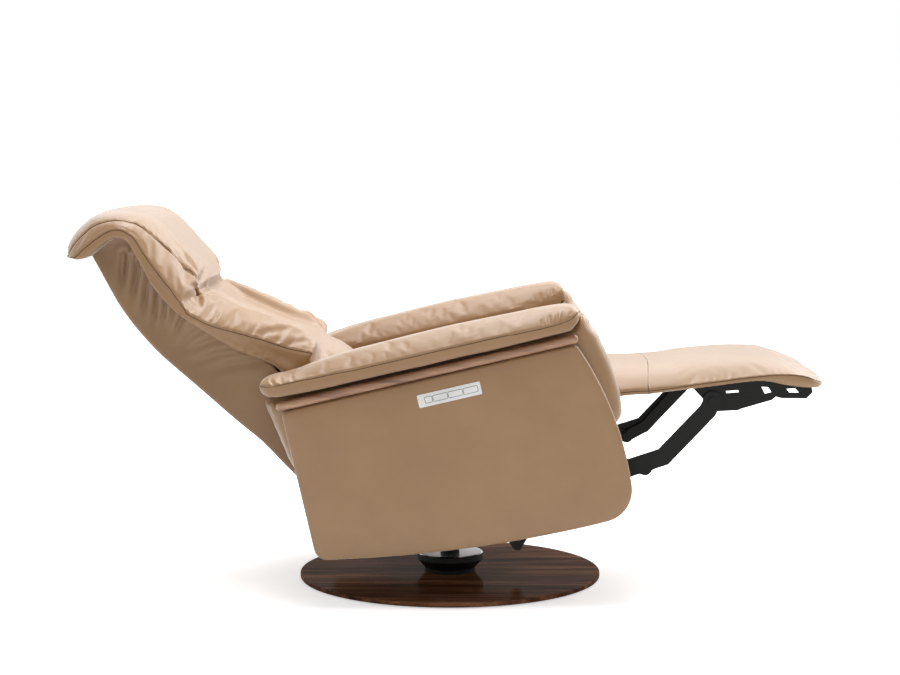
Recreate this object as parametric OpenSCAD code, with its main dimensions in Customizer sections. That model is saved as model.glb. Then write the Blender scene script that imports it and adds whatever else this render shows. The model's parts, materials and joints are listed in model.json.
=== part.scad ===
// Powered swivel recliner armchair, laid back with its footrest out.
// Millimetres, +Z up, the sitter faces +X and has the control plate on the right, at -Y.
// The origin is the middle of the underside of the base disc.
// Everything above the swivel is drawn in the upright seat's own frame and then laid back.

/* [Base] */
// Diameter of the veneered base disc
base_d = 660; // [600:5:760]
// Height of the disc's upper face above the floor
base_h = 12; // [9:0.5:20]
// Thickness of the felt liner under the disc
liner_t = 2; // [1:0.5:3]
// Width of the disc's rim round the steel ballast plate
rim_w = 35; // [25:1:60]
// Thickness of the ballast plate
ballast_t = 4; // [3:0.5:6]
// Diameter of the hub flange's rim
hub_d = 148; // [120:2:200]
// Height of the hub flange above the disc
hub_h = 40; // [30:1:46]
// Height of the flange's straight rim
hub_rim_h = 13; // [6:1:20]
// Diameter of the column between the flange and the swivel
column_d = 42; // [38:1:50]
// Diameter of the spindle that the seat turns on
spindle_d = 30; // [24:1:34]

/* [Swivel carrier] */
// Height of the swivel's lower end above the floor
swivel_z = 74; // [66:1:80]
// Length of the swivel hub
swivel_h = 65; // [50:1:68]
// Outside diameter of the swivel hub
swivel_d = 56; // [48:1:70]
// Thickness of the carrier's cross plate
carrier_t = 8; // [5:0.5:12]
// Width of the carrier's cross plate along X
carrier_w = 88; // [60:2:90]
// Thickness of the carrier's upright ears
ear_t = 7; // [4:0.5:7.5]
// Diameter of the tilt pins
tilt_pin_d = 16; // [10:1:20]

/* [Pose] */
// Angle the whole seat is laid back from upright
lie = 13; // [8:0.5:16]
// Angle the back is reclined from upright
recline = 32; // [20:1:34]
// Angle the footrest swings from stowed to out
swing = 83.5; // [76:0.5:88]

/* [Seat body] */
// Half the width of the seat and footrest cushions
seat_half = 246; // [232:1:276]
// Gap between the seat cushion and each arm
side_gap = 4; // [2:0.5:8]
// Width of an arm, from the seat to the outer face of its side panel
arm_w = 100; // [84:1:130]
// Thickness of an upholstered side panel
panel_t = 28; // [20:1:34]
// Height of the side panel's upper edge
panel_top = 484; // [470:1:495]
// Rear edge of the side panel
panel_rear = -287; // [-300:1:-270]
// Foremost reach of the side panel
panel_front = 377; // [365:1:382]
// Reach of the armrest's core in front of the side panel
core_lead = 17; // [8:1:26]
// Thickness of the armrest pad at its crest
pad_h = 65; // [45:1:80]
// Overhang of the armrest pad outside the side panel
pad_over = 20; // [10:1:30]
// Overhang of the armrest pad over the seat
pad_in = 2; // [0:0.5:3]
// Reach of the armrest pad behind the side panel
pad_tail = 31; // [10:1:40]
// Distance of the pad's front end behind the side panel's front
pad_setback = 27; // [10:1:60]
// Height of the walnut trim
trim_h = 28; // [20:1:36]
// Gap between the trim and the armrest pad
trim_gap = 1; // [0.5:0.5:4]
// Projection of the walnut trim beyond the side panel
trim_out = 7; // [3:0.5:14]
// Thickness of the steel chassis plates
chassis_t = 5; // [3:0.5:6]
// Height of the chassis plates' upper edge, where the seat frame rests
deck_z = 350; // [348:0.5:356]
// Thickness of the wooden seat frame
deck_t = 22; // [16:1:28]
// Thickness of the seat cushion at its rear
seat_h = 66; // [50:1:68]
// Diameter of the cross tubes
tube_d = 22; // [16:1:24]

/* [Footrest linkage] */
// Length of the drive link
link_len = 165; // [155:1:170]
// Width of the visible dog-leg lever
lever_w = 37; // [30:1:40]
// Thickness of the dog-leg lever
lever_t = 5; // [3:0.5:5.5]
// Width of the inner lever
inner_w = 24; // [20:1:30]
// Thickness of the other link plates
link_t = 4; // [3:0.5:4.5]
// Diameter of the linkage's rivets
rivet_d = 12; // [8:0.5:14]
// Diameter of the torque tube that joins both sides
torque_d = 25; // [20:1:28]
// Distance between the parallel drive and rear links
link_gap = 60; // [54:1:66]

/* [Footrest] */
// Thickness of the footrest cushion at its middle
foot_h = 34; // [22:1:42]
// Thickness of the upholstered footrest board
foot_board_t = 14; // [8:0.5:16]
// Length of the footrest cushion
foot_len = 366; // [340:2:376]

/* [Back] */
// Gap between the back and each arm
back_gap = 7; // [4:0.5:16]
// How much wider the head end is than the back, on each side
head_flare = 41; // [20:1:50]
// Thickness of the upholstered rear shell
shell_t = 8; // [5:0.5:12]
// Height of the headrest hinge above the back hinge
head_z = 460; // [452:1:468]
// Height of the head cushion above the headrest hinge
head_h = 274; // [255:1:290]
// Width of the back frame's side members
member_w = 36; // [26:1:40]
// Length of the crank that the back actuator pushes
crank_len = 85; // [75:1:88]
// Depth of the dip between the back cushion's wings
wing_dip = 26; // [10:1:40]

/* [Controls] */
// Width of the control plate behind the buttons
plate_rear = 15; // [6:0.5:24]
// Width of the control plate in front of the buttons
plate_front = 7.5; // [5:0.5:24]
// Height of the control plate
plate_h = 26.5; // [22:0.5:34]
// Thickness of the control plate
plate_t = 3; // [2:0.25:4]
// Height of the buttons
button_h = 11.5; // [8:0.5:13]
// Width of a long button
button_w = 28.5; // [22:0.5:34]
// Width of the short button
button_short = 14; // [10:0.5:20]
// Space between the buttons
button_space = 3; // [2:0.5:6]
// Proudness of the buttons over the plate
button_proud = 0.8; // [0.3:0.1:1.5]
// Travel of the buttons
button_travel = 1.2; // [0.5:0.1:2]

/* [Fits] */
// Radial running clearance of pins and shafts
fit = 0.05; // [0.02:0.01:0.09]
// Radial clearance of the linkage's open pivots
open_fit = 0.5; // [0.3:0.1:1]
// Gap left between separately moving upholstered parts
soft_gap = 1; // [0.5:0.25:2]
// Clearance round a button
button_gap = 0.35; // [0.2:0.05:0.6]

/* [Hidden] */
$fn = 64;

RIGHT = -1;
LEFT = 1;

// Colours of the materials
leather_c = "#c9a583";
walnut_c = "#6b4630";
black_c = "#262626";
steel_c = "#b9bcc0";
zinc_c = "#8f959c";
felt_c = "#3b3b3b";
timber_c = "#c8a46a";
plate_c = "#e8e8e4";

// Half widths, and the levels that follow from them
arm_in = seat_half + side_gap;
arm_out = arm_in + arm_w;
back_half = arm_in - back_gap;
head_half = back_half + head_flare;
core_top = panel_top + trim_h + trim_gap;
core_front = panel_front + core_lead;

// Pivots in the upright seat frame, as [x, z]
tilt_axis = [20, 200];
back_axis = [-215, deck_z - 15];
drive_axis = [256, deck_z - 20];
knee = drive_axis + link_len*[sin(swing/2), -cos(swing/2)];
foot_pin = [582, deck_z - 56];
crank_step = [49, -20];
elbow = foot_pin - [125, 91];
neck = foot_pin - [14, 17];
rear_step = [-link_gap, 0];
head_axis = [30, head_z];

// Layers of the linkage, as distances from the middle plane
chassis_in = arm_in - chassis_t;
lever_out = chassis_in - 7;
lever_in = lever_out - lever_t;
link_out = lever_in - 2;
link_in = link_out - link_t;
inner_out = link_in - 2;
inner_in = inner_out - link_t;
head_d = rivet_d + 6;
head_t = 2.5;

// ---------- helpers ----------

function unit(v) = v/norm(v);
function at_angle(a) = [cos(a), sin(a)];

// Corner b of an outline, between a and c, rounded to radius r with n steps
function round_corner(a, b, c, r, n) =
    let (u = unit(a - b), v = unit(c - b), half = acos(u*v)/2,
         m = b + unit(u + v)*r/sin(half), s = b + u*r/tan(half) - m, e = b + v*r/tan(half) - m,
         a0 = atan2(s.y, s.x), turn = (atan2(e.y, e.x) - a0 + 540) % 360 - 180)
    [for (i = [0:n]) m + r*at_angle(a0 + turn*i/n)];

// Closed outline from [x, y, r] corners, each rounded where r is above zero
function rounded(p, n = 6) =
    let (k = len(p), xy = [for (q = p) [q.x, q.y]])
    [for (i = [0:k - 1])
        each p[i][2] > 0
            ? round_corner(xy[(i + k - 1) % k], xy[i], xy[(i + 1) % k], p[i][2], n)
            : [xy[i]]];

// Smooth curve through the points p, with n steps in each stretch
function smooth(p, n = 4) =
    let (k = len(p) - 1)
    concat([for (i = [0:k - 1]) each
        let (a = p[max(i - 1, 0)], b = p[i], c = p[i + 1], d = p[min(i + 2, k)])
        [for (j = [0:n - 1]) let (t = j/n)
            0.5*(2*b + (c - a)*t + (2*a - 5*b + 4*c - d)*t*t + (3*b - a - 3*c + d)*t*t*t)]],
        [p[k]]);

// Flat outline, drawn as [x, z], made solid between y0 and y1
module slab(y0, y1) {
    translate([0, y1, 0]) rotate([90, 0, 0]) linear_extrude(y1 - y0) children();
}

// Round bar along Y at p = [x, z]
module bar_y(p, d, y0, y1) {
    slab(y0, y1) translate(p) circle(d = d);
}

// Things drawn on the right are mirrored for the left
module on_side(side) {
    if (side == LEFT) mirror([0, 1, 0]) children();
    else children();
}

module both_sides() {
    on_side(RIGHT) children();
    on_side(LEFT) children();
}

// Flat strip of width w along the points p, with mitred bends
module strip(p, w) {
    k = len(p) - 1;
    dir = [for (i = [0:k - 1]) unit(p[i + 1] - p[i])];
    side = [for (d = dir) [-d.y, d.x]];
    off = [for (i = [0:k]) i == 0 ? side[0] : i == k ? side[k - 1]
        : (side[i - 1] + side[i])/(1 + side[i - 1]*side[i])];
    polygon(concat([for (i = [0:k]) p[i] + off[i]*w/2], [for (i = [k:-1:0]) p[i] - off[i]*w/2]));
}

// Turns about the Y axis through p = [x, z]
module turned(p, a) {
    translate([p.x, 0, p.y]) rotate([0, a, 0]) translate([-p.x, 0, -p.y]) children();
}

// Upright seat frame to the laid-back chair
module laid_back() { turned(tilt_axis, -lie) children(); }

// Upright back frame, whose origin is the back hinge, to the laid-back and reclined chair
module reclined() {
    laid_back() translate([back_axis.x, 0, back_axis.y]) rotate([0, -recline, 0]) children();
}

// Zigzag wire of width d in the XY plane from x = 0 to x = run, with loops as wide as w
module zigzag(run, w, pitch, d) {
    loops = floor(run/pitch);
    lead = (run - loops*pitch)/2;
    translate([0, -d/2]) square([lead + d/2, d]);
    translate([run - lead - d/2, -d/2]) square([lead + d/2, d]);
    for (i = [0:loops]) translate([lead + i*pitch - d/2, -w/2]) square([d, w]);
    for (i = [0:loops - 1])
        translate([lead + i*pitch - d/2, (i % 2 == 0 ? 1 : -1)*w/2 - d/2]) square([pitch + d, d]);
}

// ---------- base ----------

screw_d = 10;
screw_pcd = 84;
hub_top = base_h + hub_h;
ballast_top = liner_t + ballast_t;
ballast_d = base_d - 2*rim_w;
edge_round = 2;

module at_screws() {
    for (a = [45:90:315]) rotate(a) translate([screw_pcd/2, 0, 0]) children();
}

module floor_liner() {
    color(felt_c) cylinder(d = ballast_d + 40, h = liner_t);
}

module ballast_plate() {
    color(zinc_c) difference() {
        translate([0, 0, liner_t]) cylinder(d = ballast_d, h = ballast_t);
        at_screws() translate([0, 0, -1]) cylinder(d = screw_d + 0.2, h = base_h);
    }
}

module base_disc() {
    r = base_d/2;
    color(walnut_c) difference() {
        rotate_extrude($fn = 128) polygon(concat(
            [[0, ballast_top], [ballast_d/2 + 0.2, ballast_top], [ballast_d/2 + 0.2, liner_t]],
            [for (a = [-90:15:0]) [r - edge_round, liner_t + edge_round] + edge_round*at_angle(a)],
            [for (a = [0:15:90]) [r - edge_round, base_h - edge_round] + edge_round*at_angle(a)],
            [[0, base_h]]));
        at_screws() translate([0, 0, -1]) cylinder(d = screw_d + 0.2, h = base_h + 2);
    }
}

// Dished casting that stands on the disc and grips the column
module hub_flange() {
    foot_r = hub_d/2 - 18;
    color(black_c) difference() {
        rotate_extrude() polygon([[column_d/2, base_h], [foot_r, base_h], [foot_r, base_h + 8],
            [hub_d/2 - 1, hub_top - hub_rim_h], [hub_d/2, hub_top - hub_rim_h + 1],
            [hub_d/2, hub_top - 1.5], [hub_d/2 - 1.5, hub_top], [column_d/2, hub_top]]);
        at_screws() translate([0, 0, base_h - 1]) cylinder(d = screw_d + 0.2, h = 19);
    }
}

module hub_ring() {
    color(steel_c) translate([0, 0, hub_top]) difference() {
        cylinder(d1 = hub_d - 4, d2 = hub_d - 8, h = 2);
        translate([0, 0, -1]) cylinder(d = column_d, h = 4);
    }
}

spindle_top = swivel_z + 3 + swivel_h + 15;

module column() {
    color(black_c) {
        translate([0, 0, base_h]) cylinder(d = column_d, h = swivel_z - base_h);
        translate([0, 0, swivel_z]) cylinder(d = spindle_d, h = 3 + swivel_h);
        translate([0, 0, swivel_z + 3 + swivel_h]) cylinder(d = spindle_d - 8, h = 15);
    }
}

module hub_screws() {
    color(zinc_c) at_screws() translate([0, 0, liner_t]) cylinder(d = screw_d, h = base_h + 8);
}

module thrust_washer() {
    color(steel_c) translate([0, 0, swivel_z]) difference() {
        cylinder(d = swivel_d - 8, h = 2.9);
        translate([0, 0, -1]) cylinder(d = spindle_d, h = 5);
    }
}

module retaining_nut() {
    color(zinc_c) translate([0, 0, swivel_z + 3.2 + swivel_h]) difference() {
        union() {
            cylinder(d = swivel_d - 14, h = 2.5);
            translate([0, 0, 2.5]) cylinder(d = spindle_d + 4, h = 9, $fn = 6);
        }
        translate([0, 0, -1]) cylinder(d = spindle_d - 8, h = 16);
    }
}

// ---------- swivel carrier ----------

hub_bottom = swivel_z + 3;
carrier_top = hub_bottom + swivel_h;
bush_t = 5;
ear_out = chassis_in - 2;
ear_in = ear_out - ear_t;
tilt_arm = 130;
actuator_x = tilt_axis.x + tilt_arm*cos(lie/2);
tilt_eye = tilt_axis + tilt_arm*[cos(lie/2), -sin(lie/2)];
tilt_eye_laid = tilt_axis + tilt_arm*at_angle(lie/2);
actuator_d = 44;
tilt_rod_d = 20;
eye_pin_d = 12;
eye_t = 14;

module swivel_hub() {
    color(zinc_c) translate([0, 0, hub_bottom]) difference() {
        cylinder(d = swivel_d, h = swivel_h);
        translate([0, 0, -1]) cylinder(d = spindle_d + 2*(fit + bush_t), h = swivel_h + 2);
    }
}

module swivel_bush() {
    color("#e9e2cf") translate([0, 0, hub_bottom]) difference() {
        cylinder(d = spindle_d + 2*(fit + bush_t), h = swivel_h);
        translate([0, 0, -1]) cylinder(d = spindle_d + 2*fit, h = swivel_h + 2);
    }
}

// Cross plate with a forward arm that clamps the tilt actuator
module carrier_plate() {
    arm_h = 24;
    arm_w = 72;
    web = 14;
    color(black_c) difference() {
        union() {
            translate([-carrier_w/2, -ear_in, carrier_top - carrier_t])
                cube([carrier_w, 2*ear_in, carrier_t]);
            translate([0, -arm_w/2, carrier_top - arm_h]) cube([actuator_x, arm_w, arm_h]);
            translate([actuator_x, 0, carrier_top - arm_h]) cylinder(d = arm_w, h = arm_h);
        }
        translate([0, 0, carrier_top - 30]) cylinder(d = swivel_d, h = 40);
        translate([actuator_x, 0, carrier_top - 30]) cylinder(d = actuator_d, h = 40);
        // Two troughs leave a ribbed channel on the arm's underside
        for (y = [-arm_w/2 + 8, arm_w/2 - 8 - web])
            translate([swivel_d/2 + 12, y, carrier_top - 30]) cube([actuator_x - 84, web, 22]);
    }
}

// Upright ears welded to the ends of the cross plate
module carrier_ears() {
    color(black_c) both_sides() difference() {
        slab(-ear_out, -ear_in) {
            polygon([[-carrier_w/2 + 14, carrier_top - carrier_t],
                [carrier_w/2, carrier_top - carrier_t], tilt_axis + [21, 0], tilt_axis - [21, 0]]);
            translate(tilt_axis) circle(d = 44);
        }
        bar_y(tilt_axis, tilt_pin_d, -ear_out - 1, -ear_in + 1);
    }
}

module tilt_pins() {
    color(steel_c) laid_back() both_sides() {
        bar_y(tilt_axis, tilt_pin_d, -arm_in, -ear_in);
        bar_y(tilt_axis, tilt_pin_d + 10, -ear_in, -ear_in + 5);
    }
}

// Electric linear actuator, upright, with its gearbox foot hanging below the carrier
module tilt_actuator() {
    foot_z = 59;
    color(black_c) translate([actuator_x, 0, 0]) difference() {
        union() {
            translate([0, 0, 96]) cylinder(d = actuator_d, h = carrier_top + 6 - 96);
            slab(-20, 20) polygon(rounded([[-27, 102, 3], [-24, 84, 4], [-7, foot_z, 5],
                [5, foot_z, 5], [20, 84, 4], [24, 102, 3]]));
        }
        translate([0, 0, 100]) cylinder(d = tilt_rod_d + 2*fit, h = carrier_top);
    }
}

tilt_travel = 2*tilt_arm*sin(lie/2);
tilt_bow = tilt_arm*(1 - cos(lie/2));

// Rod whose slotted eye follows the small arc of the seat's cross pin
module tilt_rod() {
    color(steel_c) translate([tilt_eye_laid.x, 0, 0]) difference() {
        union() {
            translate([0, 0, 104 + tilt_travel]) cylinder(d = tilt_rod_d,
                h = tilt_eye_laid.y - 12 - 104 - tilt_travel);
            slab(-eye_t/2, eye_t/2) {
                translate([0, tilt_eye_laid.y]) circle(d = 30);
                translate([-10, tilt_eye_laid.y - 22]) square([20, 22]);
            }
        }
        slab(-eye_t, eye_t) for (x = [0, tilt_bow])
            translate([x, tilt_eye_laid.y]) circle(d = eye_pin_d + 2*open_fit);
        slab(-eye_t, eye_t) translate([0, tilt_eye_laid.y - eye_pin_d/2 - open_fit])
            square([tilt_bow, eye_pin_d + 2*open_fit]);
    }
}

// ---------- chassis ----------

front_tube = [330, deck_z - 14];
rear_tube = [-120, deck_z - 14];
journal_d = 16;
rail_y = 55;
rail_t = 5;

module chassis_outline() {
    front = front_tube.x + 22;
    low = deck_z - 64;
    tip = tilt_axis.y - 24;
    polygon(rounded([[back_axis.x - 28, deck_z, 10], [front, deck_z, 8], [front, low + 30, 14],
        [drive_axis.x + 20, low + 14, 30], [tilt_axis.x + 98, low, 60], [tilt_axis.x + 40, tip, 22],
        [tilt_axis.x - 36, tip, 22], [tilt_axis.x - 82, low, 50], [back_axis.x - 28, low + 16, 20]]));
}

module chassis_plate(side) {
    color(black_c) laid_back() on_side(side) slab(-arm_in, -chassis_in) difference() {
        chassis_outline();
        translate(tilt_axis) circle(d = tilt_pin_d + 2*fit);
        translate(back_axis) circle(d = back_pin_d + 2*fit);
        translate(drive_axis) circle(d = journal_d + 2*fit);
        translate(drive_axis + rear_step) circle(d = rivet_d + 2*fit);
        for (x = [-150, -60, 130]) translate([x, deck_z - 28]) {
            translate([-16, -8]) square([32, 16]);
            translate([-16, 0]) circle(d = 16);
            translate([16, 0]) circle(d = 16);
        }
    }
}

module cross_tubes() {
    color(black_c) laid_back() for (p = [front_tube, rear_tube]) difference() {
        bar_y(p, tube_d, -chassis_in, chassis_in);
        bar_y(p, tube_d - 4, -chassis_in - 1, chassis_in + 1);
    }
}

back_eye = back_axis + crank_len*[sin(recline/2), -cos(recline/2)];
mount_x = 70;

// Pair of lengthwise plates that carry the drives between the cross tubes
module drive_rails() {
    color(black_c) laid_back() {
        both_sides() slab(-rail_y - rail_t, -rail_y) difference() {
            polygon(rounded([[rear_tube.x - 18, deck_z - 2, 6], [front_tube.x + 16, deck_z - 2, 6],
                [front_tube.x + 16, front_tube.y - 14, 6], [tilt_eye.x + 60, deck_z - 54, 30],
                [tilt_eye.x + 16, tilt_eye.y - 16, 15], [tilt_eye.x - 18, tilt_eye.y - 16, 15],
                [tilt_eye.x - 34, back_eye.y - 19.3, 12], [mount_x - 30, back_eye.y - 22, 12],
                [mount_x - 70, deck_z - 50, 20], [rear_tube.x - 18, rear_tube.y - 18, 8]]));
            translate(front_tube) circle(d = tube_d);
            translate(rear_tube) circle(d = tube_d);
            translate(drive_axis) circle(d = torque_d + 4);
        }
        bar_y(tilt_eye, eye_pin_d, -rail_y - rail_t, rail_y + rail_t);
        bar_y([mount_x, back_eye.y], eye_pin_d, -rail_y - rail_t, rail_y + rail_t);
    }
}

// Worm-geared motor that turns the torque tube
module foot_drive() {
    y0 = rail_y + rail_t;
    box_w = 62;
    color(black_c) laid_back() difference() {
        union() {
            slab(y0, y0 + box_w) translate(drive_axis) polygon(rounded([[-34, 16, 8],
                [26, 16, 14], [26, -22, 20], [-8, -44, 12], [-34, -44, 8]]));
            translate([drive_axis.x - 34 - 92, y0 + box_w/2, drive_axis.y - 18]) rotate([0, 90, 0])
                cylinder(d = 50, h = 96);
        }
        bar_y(drive_axis, torque_d + 2*fit, y0 - 1, y0 + box_w + 1);
    }
}

back_travel = 2*crank_len*sin(recline/2);
back_bow = crank_len*(1 - cos(recline/2));
back_rod_d = 18;
nose_x = -92;

module back_actuator() {
    color(black_c) laid_back() translate([0, 0, back_eye.y]) difference() {
        union() {
            translate([nose_x, 0, 0]) rotate([0, 90, 0]) cylinder(d = 34, h = mount_x - nose_x);
            translate([mount_x - 26, -28, -24]) cube([52, 56, 48]);
            translate([mount_x - 100, 34, -2]) rotate([0, 90, 0]) cylinder(d = 36, h = 118);
            translate([mount_x - 20, 10, -20]) cube([38, 43, 36]);
        }
        translate([nose_x - 1, 0, 0]) rotate([0, 90, 0])
            cylinder(d = back_rod_d + 2*fit, h = mount_x - nose_x - 20);
        translate([mount_x, 0, 0]) rotate([90, 0, 0])
            cylinder(d = eye_pin_d, h = 200, center = true);
    }
}

// Rod whose slotted eye follows the arc of the back frame's crank
module back_rod() {
    color(steel_c) laid_back() difference() {
        union() {
            translate([back_eye.x + 19, 0, back_eye.y]) rotate([0, 90, 0])
                cylinder(d = back_rod_d, h = nose_x + 85 - back_eye.x);
            slab(-eye_t/2, eye_t/2) translate([back_eye.x, back_eye.y]) {
                circle(d = 30);
                translate([0, -back_rod_d/2]) square([24, back_rod_d]);
            }
        }
        slab(-eye_t, eye_t) for (z = [0, -back_bow])
            translate([back_eye.x, back_eye.y + z]) circle(d = eye_pin_d + 2*open_fit);
        slab(-eye_t, eye_t) translate([back_eye.x - eye_pin_d/2 - open_fit, back_eye.y - back_bow])
            square([eye_pin_d + 2*open_fit, back_bow]);
    }
}

module control_box() {
    color(black_c) laid_back() translate([-30, -rail_y - rail_t - 84, deck_z - 58]) difference() {
        cube([120, 84, 48]);
        for (y = [12:14:68]) translate([-1, y, 14]) cube([9, 8, 12]);
    }
}

// ---------- seat ----------

seat_rear = -165;
seat_front = 380;
seat_z = deck_z + deck_t;
frame_rail = 40;

module seat_side_rails() {
    color(timber_c) laid_back() both_sides()
        translate([seat_rear, -arm_in + soft_gap, deck_z])
            cube([seat_front - 2 - seat_rear, frame_rail, deck_t]);
}

module seat_end_rails() {
    half = arm_in - soft_gap - frame_rail;
    color(timber_c) laid_back() for (x = [seat_rear, seat_front - 2 - frame_rail])
        translate([x, -half, deck_z]) cube([frame_rail, 2*half, deck_t]);
}

module seat_springs() {
    wire = 4;
    run = seat_front - 2 - seat_rear - frame_rail;
    color(steel_c) laid_back() for (i = [-2:2])
        translate([seat_rear + frame_rail/2, i*78, seat_z]) linear_extrude(wire)
            zigzag(run, 44, 22, wire);
}

module seat_cushion() {
    top = seat_z + seat_h;
    wire = 4;
    color(leather_c) laid_back() slab(-seat_half, seat_half) polygon(concat(
        [[seat_front - 14, seat_z + wire], [seat_rear, seat_z + wire], [seat_rear, top - 4]],
        smooth([[seat_rear + 8, top], [40, top + 4], [230, top + 14], [320, top + 14],
            [366, top - 6], [seat_front, top - 38], [seat_front - 14, seat_z + wire]], 4)));
}

// ---------- arms ----------

front_r = 672;
front_z = 234;
belly_r = 2810;
belly_x = 270;
belly_z = 116;
core_r = 458;
core_z = 360;

// Forward edge of the side panel and of the arm's core, and the panel's lower edge
function panel_x(z) = panel_front - front_r + sqrt(pow(front_r, 2) - pow(z - front_z, 2));
function core_x(z) = core_front - core_r + sqrt(pow(core_r, 2) - pow(z - core_z, 2));
function belly(x) = belly_z + belly_r - sqrt(pow(belly_r, 2) - pow(x - belly_x, 2));

module panel_outline() {
    polygon(rounded(concat(
        [[panel_rear, panel_top, 4], [panel_rear, belly(panel_rear), 26]],
        [for (x = [-180:90:180]) [x, belly(x), 0]], [[260, belly(260), 0]],
        [[panel_front - 4, belly_z + 1, 66]],
        [for (z = [200:40:panel_top - 44]) [panel_x(z), z, 0]],
        [[panel_x(panel_top), panel_top, 4]])));
}

module side_panel(side) {
    color(leather_c) laid_back() on_side(side) difference() {
        slab(-arm_out, -arm_out + panel_t) panel_outline();
        if (side == RIGHT) {
            for (b = buttons) translate([b.x - button_gap, -arm_out - 1, plate_z - button_h/2 - button_gap])
                cube([b.y + 2*button_gap, 20, button_h + 2*button_gap]);
            switch_body(0);
        }
    }
}

module arm_core(side) {
    color(leather_c) laid_back() on_side(side) slab(-arm_out + panel_t, -arm_in)
        polygon(rounded(concat(
            [[pad_rear - 3, core_top, 3], [panel_rear - 9, 373, 30], [panel_rear + 8, 330, 0],
                [panel_rear + 8, belly(panel_rear) + 12, 24]],
            [for (x = [-150:130:110]) [x, belly(x) + 12, 0]], [[230, belly(230) + 12, 0]],
            [[panel_front - 27, belly_z + 14, 50], [panel_front - 19, 296, 14],
                [core_x(core_z) - 1, 314, 30]],
            [for (z = [core_z:36:core_top - 13]) [core_x(z), z, 0]],
            [[core_x(core_top), core_top, 4]])));
}

trim_lead = -4;
pad_rear = panel_rear - pad_tail;
pad_len = panel_front - pad_setback - pad_rear;

// Walnut strip with a half-round outer edge and round ends, between panel and pad
module arm_trim(side) {
    x0 = panel_rear + trim_lead;
    x1 = panel_x(panel_top) + 12;
    zc = panel_top + trim_h/2;
    r = trim_h/2;
    color(walnut_c) laid_back() on_side(side) intersection() {
        translate([x0, 0, 0]) rotate([90, 0, 90]) linear_extrude(x1 - x0) {
            translate([-arm_out - trim_out + r, zc]) circle(r = r);
            translate([-arm_out - trim_out + r, panel_top])
                square([panel_t + trim_out - r, trim_h]);
        }
        slab(-arm_out - trim_out, -arm_out + panel_t) {
            translate([x0 + r, zc]) circle(r = r);
            translate([x1 - r, zc]) circle(r = r);
            translate([x0 + r, panel_top]) square([x1 - x0 - 2*r, trim_h]);
        }
    }
}

// Armrest pad: an upright band below the seam and a crowned top above it
module arm_pad(side) {
    y_out = arm_out + pad_over;
    y_in = arm_in - pad_in;
    mid = (y_out + y_in)/2;
    half = (y_out - y_in)/2;
    band = 22;
    crown = pad_h - band;
    x1 = pad_rear + pad_len;
    color(leather_c) laid_back() on_side(side) intersection() {
        translate([pad_rear, 0, core_top]) rotate([90, 0, 90]) linear_extrude(pad_len)
            polygon(concat([[-y_out + 4, 0], [-y_out, 4]],
                [for (i = [0:12]) let (t = -1 + i/6)
                    [-mid + half*t, band + crown*pow(1 - pow(abs(t), 3), 0.6)]],
                [[-y_in, 4], [-y_in - 4, 0]]));
        slab(-y_out, -y_in) polygon(rounded([[pad_rear, core_top, 8],
            [pad_rear, core_top + pad_h, 40], [x1 - 2, core_top + pad_h, 40],
            [x1, core_top, 16]]));
        translate([0, 0, core_top]) linear_extrude(pad_h) polygon(rounded([[pad_rear, -y_out, 34],
            [x1, -y_out, 44], [x1, -y_in, 40], [pad_rear, -y_in, 30]]));
    }
}

// ---------- controls ----------

plate_x = 55;
plate_z = panel_top - 39;
plate_w = plate_rear + button_short + 3*(button_space + button_w) + plate_front;
// Rear edge and width of each button, from the rear
button_x = plate_x - plate_w/2 + plate_rear;
buttons = concat([[button_x, button_short]],
    [for (i = [0:2]) [button_x + button_short + button_space + i*(button_w + button_space), button_w]]);

module switch_body(clear) {
    translate([plate_x - plate_w/2 + 6 + clear, -arm_out + 5.5, plate_z - plate_h/2 + 4 + clear])
        cube([plate_w - 12 - 2*clear, 14, plate_h - 8 - 2*clear]);
}

module switch_unit() {
    color(black_c) laid_back() switch_body(0.2);
}

module control_plate() {
    color(plate_c) laid_back() difference() {
        slab(-arm_out - plate_t, -arm_out) translate([plate_x, plate_z]) polygon(rounded([
            [-plate_w/2, -plate_h/2, 3], [plate_w/2, -plate_h/2, 3],
            [plate_w/2, plate_h/2, 3], [-plate_w/2, plate_h/2, 3]]));
        for (b = buttons)
            translate([b.x - button_gap, -arm_out - plate_t - 1, plate_z - button_h/2 - button_gap])
                cube([b.y + 2*button_gap, plate_t + 2, button_h + 2*button_gap]);
    }
}

module button(i) {
    b = buttons[i];
    color(plate_c) laid_back() slab(-arm_out - plate_t - button_proud, -arm_out + 5.5 - button_travel
        - 0.5) polygon(rounded([[b.x, plate_z - button_h/2, 1.5], [b.x + b.y, plate_z - button_h/2, 1.5],
            [b.x + b.y, plate_z + button_h/2, 1.5], [b.x, plate_z + button_h/2, 1.5]]));
}

// ---------- footrest linkage ----------

// Rivet from the layer it is fixed in at y0 to a head beyond y1, outwards or inwards
module rivet_out(p, y0, y1, d = rivet_d) {
    bar_y(p, d, -y1 - 0.5 - head_t, -y0);
    bar_y(p, d + 6, -y1 - 0.5 - head_t, -y1 - 0.5);
}

module rivet_in(p, y0, y1, d = rivet_d) {
    bar_y(p, d, -y0, -y1 + 0.5 + head_t);
    bar_y(p, d + 6, -y1 + 0.5, -y1 + 0.5 + head_t);
}

module torque_tube() {
    color(black_c) laid_back() {
        bar_y(drive_axis, torque_d, -chassis_in + 1, chassis_in - 1);
        bar_y(drive_axis, journal_d, -arm_in, arm_in);
    }
}

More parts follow.
